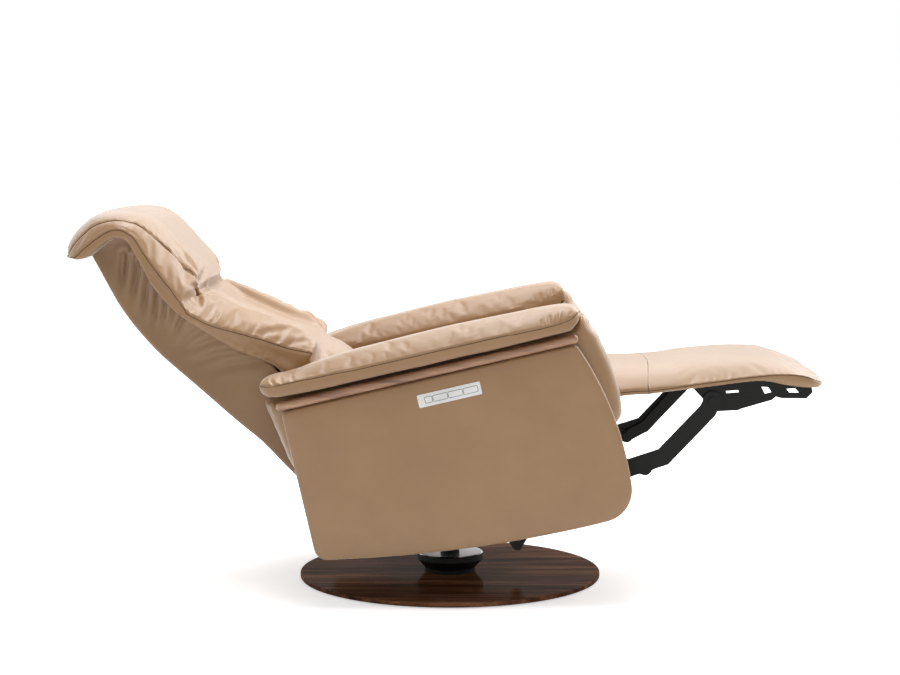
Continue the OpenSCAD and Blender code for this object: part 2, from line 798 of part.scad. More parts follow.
// Plates welded to the torque tube, with the knee rivet and the inner lever's crank
module drive_links() {
    tip = knee + crank_step;
    color(black_c) laid_back() both_sides() {
        slab(-link_out, -link_in) difference() {
            union() {
                strip([drive_axis, knee, tip], 28);
                for (p = [drive_axis, knee, tip]) translate(p) circle(d = 30);
            }
            translate(drive_axis) circle(d = torque_d);
        }
        rivet_out(knee, link_in, lever_out);
        rivet_in(tip, link_out, inner_in);
    }
}

module rear_links() {
    a = drive_axis + rear_step;
    b = knee + rear_step;
    color(black_c) laid_back() both_sides() {
        slab(-link_out, -link_in) {
            strip([a, b], 26);
            for (p = [a, b]) translate(p) circle(d = 26);
        }
        bar_y(a, rivet_d, -arm_in, -link_in);
        rivet_out(b, link_in, lever_out, rivet_d - 2);
    }
}

// Dog-leg lever seen from the side, with its tail to the rear link and a stop plate
module outer_lever(side) {
    tail = knee + rear_step;
    start = elbow - [118, 11];
    stop = knee + [30, -7];
    color(black_c) laid_back() on_side(side) {
        slab(-lever_out, -lever_in) difference() {
            union() {
                strip([start, elbow, neck, foot_pin], lever_w);
                strip([tail, knee], 26);
                strip([start, tail], 22);
                translate(foot_pin) circle(d = lever_w + 4);
                for (p = [start, tail, knee]) translate(p) circle(d = 28);
            }
            translate(knee) circle(d = rivet_d + 2*fit);
            translate(foot_pin) circle(d = rivet_d + 2*fit);
            translate(tail) circle(d = rivet_d - 2 + 2*open_fit);
        }
        slab(-lever_out - 3, -lever_out) polygon([[stop.x - 17, stop.y - 17],
            [stop.x + 22, stop.y - 14], [stop.x + 19, stop.y + 18], [stop.x - 18, stop.y + 14]]);
        bar_y(stop, 16, -lever_out - 4, -lever_out);
    }
}

// Second lever, parallel to the first, that turns the footrest as the first carries it
module inner_levers() {
    a = knee + crank_step;
    b = foot_pin + crank_step;
    bend = elbow + [5, -3];
    crook = foot_pin - [3, 11];
    color(black_c) laid_back() both_sides() difference() {
        union() {
            slab(-inner_out, -inner_in) strip([a, bend, crook, b], inner_w);
            for (p = [a, b]) bar_y(p, inner_w, -inner_out, -inner_in);
        }
        bar_y(a, rivet_d + 2*fit, -arm_in, -inner_in + 1);
        bar_y(b, rivet_d - 2 + 2*open_fit, -arm_in, -inner_in + 1);
    }
}

// ---------- footrest ----------

flap_len = 75;
foot_x = seat_front + flap_len;
foot_z = foot_pin.y + 55;
foot_nose = foot_x + foot_len;
// Seam between cushion and board, from the rear end to the nose
seam = [[foot_x, foot_z], [foot_x + 108, foot_z - 12], [foot_x + 212, foot_z - 23],
    [foot_nose - 92, foot_z - 33], [foot_nose - 42, foot_z - 48], [foot_nose - 12, foot_z - 72]];
// Underside of the board
under_rear = [foot_x, foot_z - foot_board_t/2];
under_mid = [foot_nose - 124, foot_z - 38];
under_nose = [foot_nose - 21, foot_z - 78];
board_inset = 8;

// Bracket plate with the lightening gaps that show daylight, and a flange under the board
module foot_brackets() {
    x = foot_pin.x;
    z = foot_pin.y;
    rear_eye = -20;
    rear = x - 34;
    front = foot_nose - 31;
    color(black_c) laid_back() both_sides() {
        slab(-link_out, -link_in) difference() {
            union() {
                polygon(rounded([[rear, under_at(rear), 0], [x + rear_eye, z + 12, 4], [x, z - 19, 0],
                    [x + 18, z - 25, 6], [x + 50, z - 30, 16], [foot_nose - 117, z - 26, 5],
                    [foot_nose - 108, z - 21, 3], [foot_nose - 97, z - 27, 6],
                    [foot_nose - 47, z - 39, 5], [front, z - 29, 3], [front, under_at(front), 0],
                    [under_mid.x, under_mid.y, 0]]));
                translate(foot_pin) circle(d = lever_w);
            }
            translate(foot_pin) polygon([[32, 9], [58, 5], [58, 10], [32, 14]]);
            translate([foot_nose, z]) {
                polygon([[-133, 6], [-129, -10], [-115, -10], [-119, 2]]);
                polygon([[-83, -10], [-79, -19], [-59, -24], [-65, -13]]);
            }
        }
        slab(-link_in, -link_in + 26) polygon([[rear + 8, under_at(rear + 8)],
            [rear + 8, under_at(rear + 8) - 3], [foot_nose - 135, under_at(foot_nose - 135) - 3],
            [foot_nose - 135, under_at(foot_nose - 135)]]);
        rivet_out(foot_pin, link_in, lever_out);
        rivet_in(foot_pin + crank_step, link_out, inner_in, rivet_d - 2);
    }
}

// Height of the board's underside at x
function under_at(x) = x < under_mid.x
    ? under_rear.y + (under_mid.y - under_rear.y)*(x - under_rear.x)/(under_mid.x - under_rear.x)
    : under_mid.y + (under_nose.y - under_mid.y)*(x - under_mid.x)/(under_nose.x - under_mid.x);

module foot_plan(half) {
    translate([0, 0, foot_z - 150]) linear_extrude(300) polygon(rounded([[foot_x, -half, 8],
        [foot_nose, -half, 70], [foot_nose, half, 70], [foot_x, half, 8]]));
}

module foot_board() {
    color(leather_c) laid_back() intersection() {
        slab(-seat_half + board_inset, seat_half - board_inset)
            polygon(concat([under_nose, under_mid, under_rear], smooth(seam, 3)));
        foot_plan(seat_half - board_inset);
    }
}

module foot_cushion() {
    slope = 6;
    color(leather_c) laid_back() intersection() {
        slab(-seat_half, seat_half) polygon(concat(smooth(seam, 3), smooth([
            [foot_nose - 12, foot_z - 72], [foot_nose, foot_z - 68], [foot_nose - 22, foot_z - 45],
            [foot_nose - 37, foot_z - 30], [foot_nose - 96, foot_z + foot_h - 38],
            [foot_x + 201, foot_z + foot_h - 22], [foot_x + 112, foot_z + foot_h - 10],
            [foot_x + 20, foot_z + foot_h + 1], [foot_x, foot_z + foot_h - 4]], 4)));
        translate([foot_x - 60, 0, foot_z - 49]) rotate([0, slope, 0]) rotate([90, 0, 90])
            linear_extrude(500) polygon(concat([[-seat_half, -60]],
                [for (i = [0:16]) let (t = -1 + i/8)
                    [seat_half*t, 58 + (foot_h + 4)*pow(1 - pow(abs(t), 4), 0.55)]],
                [[seat_half, -60]]));
        foot_plan(seat_half);
    }
}

// Soft leather bridge between the seat's nose and the footrest cushion
module seat_flap() {
    top = foot_z + foot_h;
    color(leather_c) laid_back() slab(-seat_half + 4, seat_half - 4) polygon([
        [seat_front + soft_gap, foot_z + 9], [foot_x - soft_gap, foot_z + 1],
        [foot_x - soft_gap, top - 4], [foot_x - 30, top + 1], [seat_front + soft_gap, top + 17]]);
}

// ---------- back ----------

member_y = back_half - 17;
member_t = 6;
lean = 5;
frame_top = head_z - 30;

// Line of the frame's members, which lean back a little from the hinge
module on_member() { rotate([0, -lean, 0]) children(); }

module back_members() {
    color(black_c) reclined() both_sides() {
        on_member() slab(-member_y, -member_y + member_t) {
            translate([-member_w/2, 0]) square([member_w, frame_top]);
            circle(d = member_w + 6);
            translate([0, frame_top]) circle(d = member_w + 4);
        }
        bar_y([0, 0], back_pin_d, -arm_in, -member_y);
    }
}

// Cross tubes: the lowest carries the crank, the highest the headrest's hinge arms
module back_tubes() {
    half = member_y - member_t;
    crank = crank_len*at_angle(-90 - recline/2);
    crank_y = eye_t/2 + 1;
    crank_t = 6;
    color(black_c) reclined() {
        on_member() for (z = [0, frame_top/2, frame_top]) bar_y([0, z], tube_d, -half, half);
        both_sides() slab(-crank_y - crank_t, -crank_y) {
            strip([[0, 0], crank], 26);
            translate(crank) circle(d = 28);
        }
        bar_y(crank, eye_pin_d, -crank_y - crank_t, crank_y + crank_t);
        both_sides() {
            slab(-hinge_y - 5, -hinge_y) {
                strip([[-tube_d - 20, frame_top - 6], head_axis], 20);
                translate(head_axis) circle(d = 22);
            }
            bar_y(head_axis, head_pin_d, -hinge_y - 11, -hinge_y);
        }
    }
}

back_pin_d = 16;
head_pin_d = 10;
hinge_y = 150;

module back_springs() {
    wire = 3.5;
    color(steel_c) reclined() on_member() for (y = [-108:72:108])
        translate([tube_d/2, y, 0]) rotate([0, -90, 0]) translate([0, 0, -wire])
            linear_extrude(wire) zigzag(frame_top, 40, 20, wire);
}

shell_foot = -42;

// Rear edge of the shell and of the head shell in side view, upwards
shell_rear = [[-62, shell_foot], [-70, 20], [-71, 145], [-77, 221], [-92, 334], [-96, head_z - 40],
    [-95, head_z - 1]];
head_rear = [[-95, head_z + 1], [-91, head_z + 50], [-79, head_z + 101],
    [-62, head_z + head_h - 114], [-44, head_z + head_h - 70]];

// Heights between which the back widens from the arms' gap to the head end's width
flare_low = 262;
flare_high = head_z - 60;

// Plan section of the shell, wider at the cushion than at the rear
module shell_plan(rear_half, front_half, z0, h) {
    translate([0, 0, z0]) linear_extrude(h) polygon([[-110, -rear_half], [70, -front_half],
        [70, front_half], [-110, rear_half]]);
}

// Front view of the shell: narrow between the arms, wider above them
module shell_front() {
    rotate([90, 0, 90]) translate([0, 0, -150]) linear_extrude(400) polygon([
        [-back_half, -60], [back_half, -60], [back_half, flare_low], [head_half, flare_high],
        [head_half, 800], [-head_half, 800], [-head_half, flare_high], [-back_half, flare_low]]);
}

module back_shell() {
    color(leather_c) reclined() difference() {
        intersection() {
            slab(-head_half, head_half) polygon(concat(smooth(shell_rear, 2),
                [[2, head_z - 1], [15, head_z - 61], [27, 337], [58, 243], [62, 112], [40, 100],
                [34, 10], [8, shell_foot]]));
            shell_plan(back_half - 4, head_half - 4, shell_foot - 10, 600);
            shell_front();
        }
        // Hollow behind the cushion, open in front, above and below
        slab(-back_half + 4 + shell_t, back_half - 4 - shell_t) polygon(concat(
            [for (p = smooth(shell_rear, 2)) [p.x + shell_t, p.y]],
            [[90, head_z + 10], [90, shell_foot - 30], [-62 + shell_t, shell_foot - 30]]));
        both_sides() bar_y([0, 0], member_w + 14, -arm_in, -back_half + 30);
    }
}

module back_cushion() {
    slant = 22;
    color(leather_c) reclined() difference() {
        intersection() {
            slab(-head_half, head_half) polygon(concat(
                [[4, head_z - 2], [17, head_z - 61], [29, 337], [60, 243], [64, 114], [180, 114]],
                smooth([[190, 122], [196, 150], [179, 206], [138, 296], [100, head_z - 77],
                    [78, head_z - 24], [68, head_z - 14], [30, head_z - 2]], 3)));
            shell_front();
            translate([64, 0, 114]) rotate([0, -slant, 0]) translate([0, 0, -80]) linear_extrude(600)
                polygon(concat([[-120, -head_half]],
                    [for (i = [0:18]) let (t = -1 + i/9)
                        [150*pow(1 - pow(abs(t), 4), 0.5) - 10, head_half*t]],
                    [[-120, head_half]]));
        }
        translate([196, 0, 150]) rotate([0, -slant - 1, 0]) translate([400 - wing_dip, 0, -200])
            cylinder(r = 400, h = 700, $fn = 96);
        hinge_slots(head_z - 50, head_z);
    }
}

// Room for the headrest's hinge arms
module hinge_slots(z0, z1) {
    both_sides() translate([-70, -hinge_y - 13, z0]) cube([120, 15, z1 - z0]);
}

// ---------- headrest ----------

// Steel plate inside the headrest, or the pocket that holds it with a gap all round
module head_plate(gap) {
    foot = [-46, head_z + 30];
    top = [-24, head_z + head_h - 84];
    t = 6;
    slab(-head_half + 90 - gap, head_half - 90 + gap)
        polygon([foot - [gap, gap], foot + [t + gap, -gap], top + [t + gap, gap], top + [-gap, gap]]);
}

module head_frame() {
    color(black_c) reclined() {
        head_plate(0);
        both_sides() slab(-hinge_y - 11, -hinge_y - 6) difference() {
            union() {
                strip([[-36, head_z + 46], head_axis], 22);
                translate(head_axis) circle(d = 22);
            }
            translate(head_axis) circle(d = head_pin_d + 2*fit);
        }
    }
}

module head_shell() {
    top = head_z + head_h - 68;
    color(leather_c) reclined() difference() {
        intersection() {
            slab(-head_half, head_half) polygon(concat(smooth(head_rear, 2),
                [[-10, top + 2], [30, top - 20], [27, top - 62], [5, head_z + 70], [1, head_z + 2]]));
            shell_plan(back_half - 4, head_half - 4, 400, 400);
        }
        head_plate(soft_gap);
        hinge_slots(head_z, head_z + 62);
    }
}

module head_cushion() {
    top = head_z + head_h;
    color(leather_c) reclined() difference() {
        intersection() {
            slab(-head_half, head_half) polygon(concat(
                [[3, head_z + 2], [7, head_z + 70], [29, top - 130], [32, top - 87], [-8, top - 64],
                    [-42, top - 68]],
                smooth([[-66, top - 54], [-84, top - 36], [-76, top - 10], [-48, top], [-10, top],
                    [22, top - 8], [62, top - 39], [87, top - 72], [96, top - 104], [95, top - 154],
                    [92, head_z + 74], [89, head_z + 38], [76, head_z + 21], [32, head_z + 2]], 3)));
            translate([0, 0, head_z - 60]) linear_extrude(500) polygon(concat([[-140, -head_half]],
                [for (i = [0:18]) let (t = -1 + i/9)
                    [40 + 57*pow(1 - pow(abs(t), 4), 0.5), head_half*t]],
                [[-140, head_half]]));
            rotate([90, 0, 90]) translate([0, 0, -150]) linear_extrude(400) polygon(rounded([
                [-head_half, head_z - 20, 0], [head_half, head_z - 20, 0],
                [head_half, top, 60], [-head_half, top, 60]]));
        }
        hinge_slots(head_z, head_z + 52);
    }
}

// ---------- the chair ----------

floor_liner();
ballast_plate();
base_disc();
hub_flange();
hub_ring();
column();
hub_screws();
thrust_washer();
retaining_nut();
swivel_hub();
swivel_bush();
carrier_plate();
carrier_ears();
tilt_pins();
tilt_actuator();
tilt_rod();
chassis_plate(RIGHT);  // chassis_plate_right
chassis_plate(LEFT);  // chassis_plate_left
cross_tubes();
drive_rails();
foot_drive();
back_actuator();
control_box();
seat_side_rails();
seat_end_rails();
seat_springs();
seat_cushion();
arm_core(RIGHT);  // arm_core_right
arm_core(LEFT);  // arm_core_left
side_panel(RIGHT);  // side_panel_right
side_panel(LEFT);  // side_panel_left
arm_trim(RIGHT);  // arm_trim_right
arm_trim(LEFT);  // arm_trim_left
arm_pad(RIGHT);  // arm_pad_right
arm_pad(LEFT);  // arm_pad_left
control_plate();
switch_unit();
seat_flap();
back_rod();
torque_tube();
drive_links();
rear_links();
outer_lever(RIGHT);  // outer_lever_right
outer_lever(LEFT);  // outer_lever_left
inner_levers();
foot_brackets();
foot_board();
foot_cushion();
back_members();
back_tubes();
back_springs();
back_shell();
back_cushion();
head_frame();
head_shell();
head_cushion();
button(0);  // button_1
button(1);  // button_2
button(2);  // button_3
button(3);  // button_4
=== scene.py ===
import json
import math

import bmesh
import bpy
import numpy as np
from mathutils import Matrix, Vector
from mathutils.bvhtree import BVHTree

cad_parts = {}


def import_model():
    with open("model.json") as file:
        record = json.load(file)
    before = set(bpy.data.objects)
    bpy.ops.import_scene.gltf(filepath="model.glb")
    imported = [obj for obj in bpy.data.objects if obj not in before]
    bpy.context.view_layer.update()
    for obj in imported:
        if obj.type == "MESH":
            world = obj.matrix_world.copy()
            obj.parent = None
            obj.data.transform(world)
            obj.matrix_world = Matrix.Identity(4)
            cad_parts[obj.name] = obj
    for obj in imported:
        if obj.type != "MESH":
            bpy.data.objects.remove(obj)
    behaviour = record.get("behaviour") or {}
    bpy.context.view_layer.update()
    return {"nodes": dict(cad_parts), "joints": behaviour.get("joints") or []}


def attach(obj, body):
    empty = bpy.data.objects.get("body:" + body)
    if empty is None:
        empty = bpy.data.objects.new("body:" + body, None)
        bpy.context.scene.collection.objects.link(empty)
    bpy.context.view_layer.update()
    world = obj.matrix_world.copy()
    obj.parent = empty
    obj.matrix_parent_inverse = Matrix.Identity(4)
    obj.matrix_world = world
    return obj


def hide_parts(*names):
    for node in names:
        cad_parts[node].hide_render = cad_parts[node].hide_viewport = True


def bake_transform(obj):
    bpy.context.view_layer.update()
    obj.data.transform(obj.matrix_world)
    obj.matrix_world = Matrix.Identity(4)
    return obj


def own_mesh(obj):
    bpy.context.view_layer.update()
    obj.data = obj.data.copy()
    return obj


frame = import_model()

NODES = frame["nodes"]
JOINTS = {j["name"]: j for j in frame["joints"]}
RIGHT, LEFT = -1, 1
WORD = {RIGHT: "right", LEFT: "left"}
MM = 1000  # millimetres in a metre
XZ, YZ = [0, 2], [1, 2]

# ---------------------------------------------------------------------------
# Frames. Pieces are drawn in millimetres, in the upright seat's frame or in the
# upright back's frame, whose origin is the back hinge, and placed from there.
# ---------------------------------------------------------------------------

LIE = math.radians(JOINTS["seat_tilt"]["range_deg"][1])
RECLINE = math.radians(JOINTS["back_recline"]["range_deg"][1])
TILT_AXIS = np.array(JOINTS["seat_tilt"]["pos_m"])
BACK_AXIS = np.array(JOINTS["back_recline"]["pos_m"])


def turned(points, centre, origin, angle):
    """Points in mm about origin, laid back by angle and put about centre, in metres."""
    p = (np.asarray(points, float) - origin) / MM
    c, s = math.cos(angle), math.sin(angle)
    x = p[..., 0] * c - p[..., 2] * s
    z = p[..., 0] * s + p[..., 2] * c
    return np.stack([x + centre[0], p[..., 1] + centre[1], z + centre[2]], -1)


def on_seat(points):
    return turned(points, TILT_AXIS, TILT_AXIS * MM, LIE)


def on_back(points):
    return turned(points, BACK_AXIS, np.zeros(3), LIE + RECLINE)


# --- Curves and meshes ---

SPLINE_STEPS = 40  # steps per point of a curve before it is spaced evenly
WELD = 2e-5  # points of a mesh closer than this are one, in metres
CAP_STEPS = (0.85, 0.55, 0.25)  # rings of a closed end, from the innermost out
FAR = 1e9
NOISE_PRIMES = (73856093, 19349663, 83492791)
SEED_STEP = 7.31  # cells between the noise of one seed and of the next


def spline(points, n):
    """Catmull-Rom curve or surface rows through points, at n parameters spread evenly over the spans."""
    p = np.asarray(points, float)
    last = len(p) - 1
    t = np.linspace(0, last, n)
    i = np.minimum(np.floor(t).astype(int), last - 1)
    f = (t - i).reshape((-1,) + (1,) * (p.ndim - 1))
    a, b, c, d = (p[np.clip(i + j, 0, last)] for j in (-1, 0, 1, 2))
    return 0.5 * (2 * b + (c - a) * f + (2 * a - 5 * b + 4 * c - d) * f**2 + (3 * b - a - 3 * c + d) * f**3)


def evenly(path, n, endpoint=True):
    """n points spaced evenly by length along a polyline."""
    s = np.concatenate([[0], np.cumsum(np.linalg.norm(np.diff(path, axis=0), axis=1))])
    t = np.linspace(0, s[-1], n, endpoint=endpoint)
    return np.stack([np.interp(t, s, values) for values in path.T], -1)


def along(points, n):
    """n points spaced evenly by length along a smooth curve through points."""
    return evenly(spline(points, SPLINE_STEPS * len(points)), n)


def even_loop(outline, n):
    """Closed outline resampled to n points, evenly by length."""
    return evenly(np.vstack([outline, outline[:1]]), n, endpoint=False)


def smoothstep(x, a, b):
    t = np.clip((x - a) / (b - a), 0, 1)
    return t * t * (3 - 2 * t)


def mesh_object(name, verts, faces):
    me = bpy.data.meshes.new(name)
    me.from_pydata([tuple(v) for v in verts], [], faces)
    bm = bmesh.new()
    bm.from_mesh(me)
    bmesh.ops.remove_doubles(bm, verts=bm.verts, dist=WELD)
    bmesh.ops.recalc_face_normals(bm, faces=bm.faces)
    for f in bm.faces:
        f.smooth = True
    bm.to_mesh(me)
    bm.free()
    ob = bpy.data.objects.new(name, me)
    bpy.context.scene.collection.objects.link(ob)
    return ob


def ring_faces(rows, n):
    """Quads between rows of n points, each row a closed loop."""
    return [(i * n + j, i * n + (j + 1) % n, (i + 1) * n + (j + 1) % n, (i + 1) * n + j)
            for i in range(rows - 1) for j in range(n)]


def tube_mesh(name, rings):
    """Closed skin over rings of points, with each end ring drawn together to its middle."""
    rings = np.asarray(rings, float)
    first, last = rings[0], rings[-1]
    caps = [first * (1 - s) + first.mean(0) * s for s in CAP_STEPS]
    ends = [last * (1 - s) + last.mean(0) * s for s in CAP_STEPS[::-1]]
    rings = np.concatenate([np.array(caps), rings, np.array(ends)])
    m, n = rings.shape[:2]
    verts = list(rings.reshape(-1, 3)) + [rings[0].mean(0), rings[-1].mean(0)]
    faces = ring_faces(m, n)
    for j in range(n):
        k = (j + 1) % n
        faces += [(m * n, k, j), (m * n + 1, (m - 1) * n + j, (m - 1) * n + k)]
    return mesh_object(name, verts, faces)


def vectors(mesh, what):
    """The "co" or "normal" of each vertex of a mesh."""
    values = np.zeros(len(mesh.vertices) * 3)
    mesh.vertices.foreach_get(what, values)
    return values.reshape(-1, 3)


def coords(ob):
    return vectors(ob.data, "co")


def set_coords(ob, co):
    ob.data.vertices.foreach_set("co", np.asarray(co, float).ravel())
    ob.data.update()


def normals(ob):
    ob.data.update()
    return vectors(ob.data, "normal")


def push(ob, amount):
    """Moves each vertex along its normal by amount, in metres."""
    set_coords(ob, coords(ob) + normals(ob) * np.asarray(amount)[:, None])


def field(points, scale, seed=0):
    """Smooth noise at points, about -1 to 1, with features of about scale, in the points' unit."""
    p = np.asarray(points, float) / scale + SEED_STEP * seed
    cell = np.floor(p).astype(np.int64)
    f = p - cell
    f = f * f * (3 - 2 * f)
    out = np.zeros(len(p))
    for octant in range(8):
        weight = np.ones(len(p))
        number = np.zeros(len(p), np.int64)
        for k, prime in enumerate(NOISE_PRIMES):
            bit = octant >> k & 1
            weight *= f[:, k] if bit else 1 - f[:, k]
            number ^= (cell[:, k] + bit) * prime
        number = ((number ^ (number >> 13)) * 1274126177) & 0x7FFFFFFF
        out += weight * (number / 0x3FFFFFFF - 1)
    return out


def near(points, line, reach=0.07):
    """Distance from each point to a polyline, and how far along it the nearest place is, out to reach."""
    close = np.flatnonzero(((points > line.min(0) - reach) & (points < line.max(0) + reach)).all(1))
    p = points[close]
    best, spot = np.full(len(p), FAR), np.zeros(len(p))
    start = 0.0
    for a, b in zip(line[:-1], line[1:]):
        d = b - a
        length = max(float(np.linalg.norm(d)), 1e-9)
        t = np.clip((p - a) @ d / length**2, 0, 1)
        gap = np.linalg.norm(p - a - t[:, None] * d, axis=1)
        closer = gap < best
        best[closer] = gap[closer]
        spot[closer] = start + t[closer] * length
        start += length
    dist, place = np.full(len(points), FAR), np.zeros(len(points))
    dist[close], place[close] = best, spot
    return dist, place


def modify(ob, kind, **settings):
    """Puts a modifier on, and applies it."""
    mod = ob.modifiers.new(kind, kind)
    for k, v in settings.items():
        setattr(mod, k, v)
    me = bpy.data.meshes.new_from_object(ob.evaluated_get(bpy.context.evaluated_depsgraph_get()))
    ob.modifiers.clear()
    old = ob.data
    ob.data = me
    bpy.data.meshes.remove(old)
    for f in ob.data.polygons:
        f.use_smooth = True


def subdivide(ob):
    modify(ob, "SUBSURF", levels=1, render_levels=1)


def remesh(ob, size):
    """Even quads of about size metres."""
    modify(ob, "REMESH", mode="VOXEL", voxel_size=size)


def relax(ob, times):
    modify(ob, "SMOOTH", factor=0.5, iterations=times)


CLOTH_FRAMES = 20
LEATHER_CLOTH = {
    "quality": 5, "mass": 0.35, "tension_stiffness": 18, "compression_stiffness": 18, "shear_stiffness": 6,
    "bending_stiffness": 2.5, "use_pressure": True, "uniform_pressure_force": 4.0, "vertex_group_mass": "pin",
}


def puff(ob, pinned, spare=0.02, start=0.004, cap=0.012):
    """Swells a closed skin as cloth with some spare area, held where pinned is near 1."""
    push(ob, -start * (1 - np.asarray(pinned)))
    rest = coords(ob)
    group = ob.vertex_groups.new(name="pin")
    for i in np.flatnonzero(np.asarray(pinned) > 0.01):
        group.add([int(i)], float(pinned[i]), "REPLACE")
    mod = ob.modifiers.new("Cloth", "CLOTH")
    for k, v in LEATHER_CLOTH.items():
        setattr(mod.settings, k, v)
    mod.settings.shrink_min = -spare
    mod.settings.effector_weights.gravity = 0
    mod.collision_settings.use_collision = False
    mod.point_cache.frame_start, mod.point_cache.frame_end = 1, CLOTH_FRAMES
    for f in range(1, CLOTH_FRAMES + 1):
        bpy.context.scene.frame_set(f)
    ev = ob.evaluated_get(bpy.context.evaluated_depsgraph_get())
    move = vectors(ev.data, "co") - rest
    size = np.linalg.norm(move, axis=1)
    move *= (np.minimum(size, cap) / np.maximum(size, 1e-9))[:, None]
    ob.modifiers.clear()
    ob.vertex_groups.clear()
    set_coords(ob, rest + move)
    bpy.context.scene.frame_set(1)


# --- Materials ---


class Nodes:
    """A short way to write a material's nodes."""

    def __init__(self, name):
        self.mat = bpy.data.materials.new(name)
        self.mat.use_nodes = True
        self.tree = self.mat.node_tree
        self.shader = self.tree.nodes["Principled BSDF"]
        self.place = self.add("ShaderNodeTexCoord").outputs["Object"]

    def add(self, kind, **values):
        n = self.tree.nodes.new(kind)
        for k, v in values.items():
            if hasattr(n, k):
                setattr(n, k, v)
            else:
                n.inputs[k.replace("_", " ")].default_value = v
        return n

    def link(self, a, b):
        self.tree.links.new(a, b)

    def feed(self, socket, value):
        self.link(value, self.shader.inputs[socket])

    def set(self, **values):
        for k, v in values.items():
            self.shader.inputs[k.replace("_", " ")].default_value = v

    def noise(self, scale, detail=3.0, rough=0.5, stretch=None, turn=(0, 0, 0)):
        place = self.place
        if stretch is not None:
            m = self.add("ShaderNodeMapping")
            m.inputs["Scale"].default_value = stretch
            m.inputs["Rotation"].default_value = turn
            self.link(place, m.inputs["Vector"])
            place = m.outputs["Vector"]
        n = self.add("ShaderNodeTexNoise", Scale=scale, Detail=detail, Roughness=rough)
        self.link(place, n.inputs["Vector"])
        return n.outputs["Fac"]

    def ramp(self, value, stops):
        r = self.add("ShaderNodeValToRGB")
        e = r.color_ramp.elements
        while len(e) < len(stops):
            e.new(0.5)
        for x, (pos, col) in zip(e, stops):
            x.position = pos
            x.color = (*col, 1)
        self.link(value, r.inputs["Fac"])
        return r.outputs["Color"]

    def span(self, value, low, high):
        r = self.add("ShaderNodeMapRange")
        r.inputs["To Min"].default_value = low
        r.inputs["To Max"].default_value = high
        self.link(value, r.inputs["Value"])
        return r.outputs["Result"]

    def bump(self, *layers):
        """Each layer is (height, strength, distance in metres)."""
        last = None
        for height, strength, distance in layers:
            b = self.add("ShaderNodeBump", Strength=strength, Distance=distance)
            self.link(height, b.inputs["Height"])
            if last is not None:
                self.link(last, b.inputs["Normal"])
            last = b.outputs["Normal"]
        self.feed("Normal", last)


def srgb(r, g, b):
    return tuple((v / 255 / 12.92) if v <= 10 else ((v / 255 + 0.055) / 1.055) ** 2.4 for v in (r, g, b))


def leather_material(name, light, dark, rough=(0.36, 0.5)):
    n = Nodes(name)
    broad = n.noise(7.0, 4.0, 0.55)
    n.feed("Base Color", n.ramp(broad, [(0.3, srgb(*dark)), (0.7, srgb(*light))]))
    n.feed("Roughness", n.span(n.noise(60.0, 3.0), *rough))
    cells = n.add("ShaderNodeTexVoronoi", feature="F1", Scale=620.0)
    n.link(n.place, cells.inputs["Vector"])
    n.bump(
        (n.noise(26.0, 4.0, 0.6), 0.10, 0.004),
        (cells.outputs["Distance"], 0.16, 0.0006),
        (n.noise(1500.0, 2.0), 0.08, 0.0003),
    )
    n.set(Specular_IOR_Level=0.85, Sheen_Weight=0.5, Sheen_Roughness=0.45)
    return n.mat


def wood_material(name, tones, grain_turn, rough=0.3, coat=0.35, shine=0.45):
    """tones run from the darkest pore to the palest band. The grain runs along X after grain_turn."""
    n = Nodes(name)
    bands = n.noise(9.0, 5.0, 0.62, stretch=(0.32, 5.0, 5.0), turn=grain_turn)
    pores = n.noise(60.0, 4.0, 0.7, stretch=(0.12, 6.0, 6.0), turn=grain_turn)
    mix = n.add("ShaderNodeMath", operation="MULTIPLY_ADD")
    n.link(pores, mix.inputs[0])
    mix.inputs[1].default_value = 0.35
    n.link(bands, mix.inputs[2])
    stops = [(place, srgb(*tone)) for place, tone in zip((0.45, 0.6, 0.74, 0.86), tones)]
    n.feed("Base Color", n.ramp(mix.outputs["Value"], stops))
    n.bump((pores, 0.12, 0.0004))
    n.set(Roughness=rough, Coat_Weight=coat, Coat_Roughness=0.12, Specular_IOR_Level=shine)
    return n.mat


def metal_material(name, colour, rough, brushed=(1, 1, 1)):
    n = Nodes(name)
    n.set(Metallic=1.0)
    streaks = n.noise(220.0, 3.0, 0.6, stretch=brushed)
    n.feed("Base Color", n.ramp(streaks, [(0.3, tuple(c * 0.88 for c in colour)), (0.7, colour)]))
    n.feed("Roughness", n.span(streaks, rough * 0.8, rough * 1.25))
    n.bump((streaks, 0.05, 0.0002))
    return n.mat


def coated_material(name, colour, rough, grain=900.0, depth=0.1, shine=0.4):
    """Powder coat or moulded plastic, with a fine orange-peel."""
    n = Nodes(name)
    low, high = (tuple(min(1, c * share) for c in srgb(*colour)) for share in (0.85, 1.15))
    n.feed("Base Color", n.ramp(n.noise(14.0, 3.0), [(0.3, low), (0.7, high)]))
    n.feed("Roughness", n.span(n.noise(grain, 2.0), rough * 0.85, rough * 1.15))
    n.bump((n.noise(grain, 3.0), depth, 0.0003))
    n.set(Specular_IOR_Level=shine)
    return n.mat


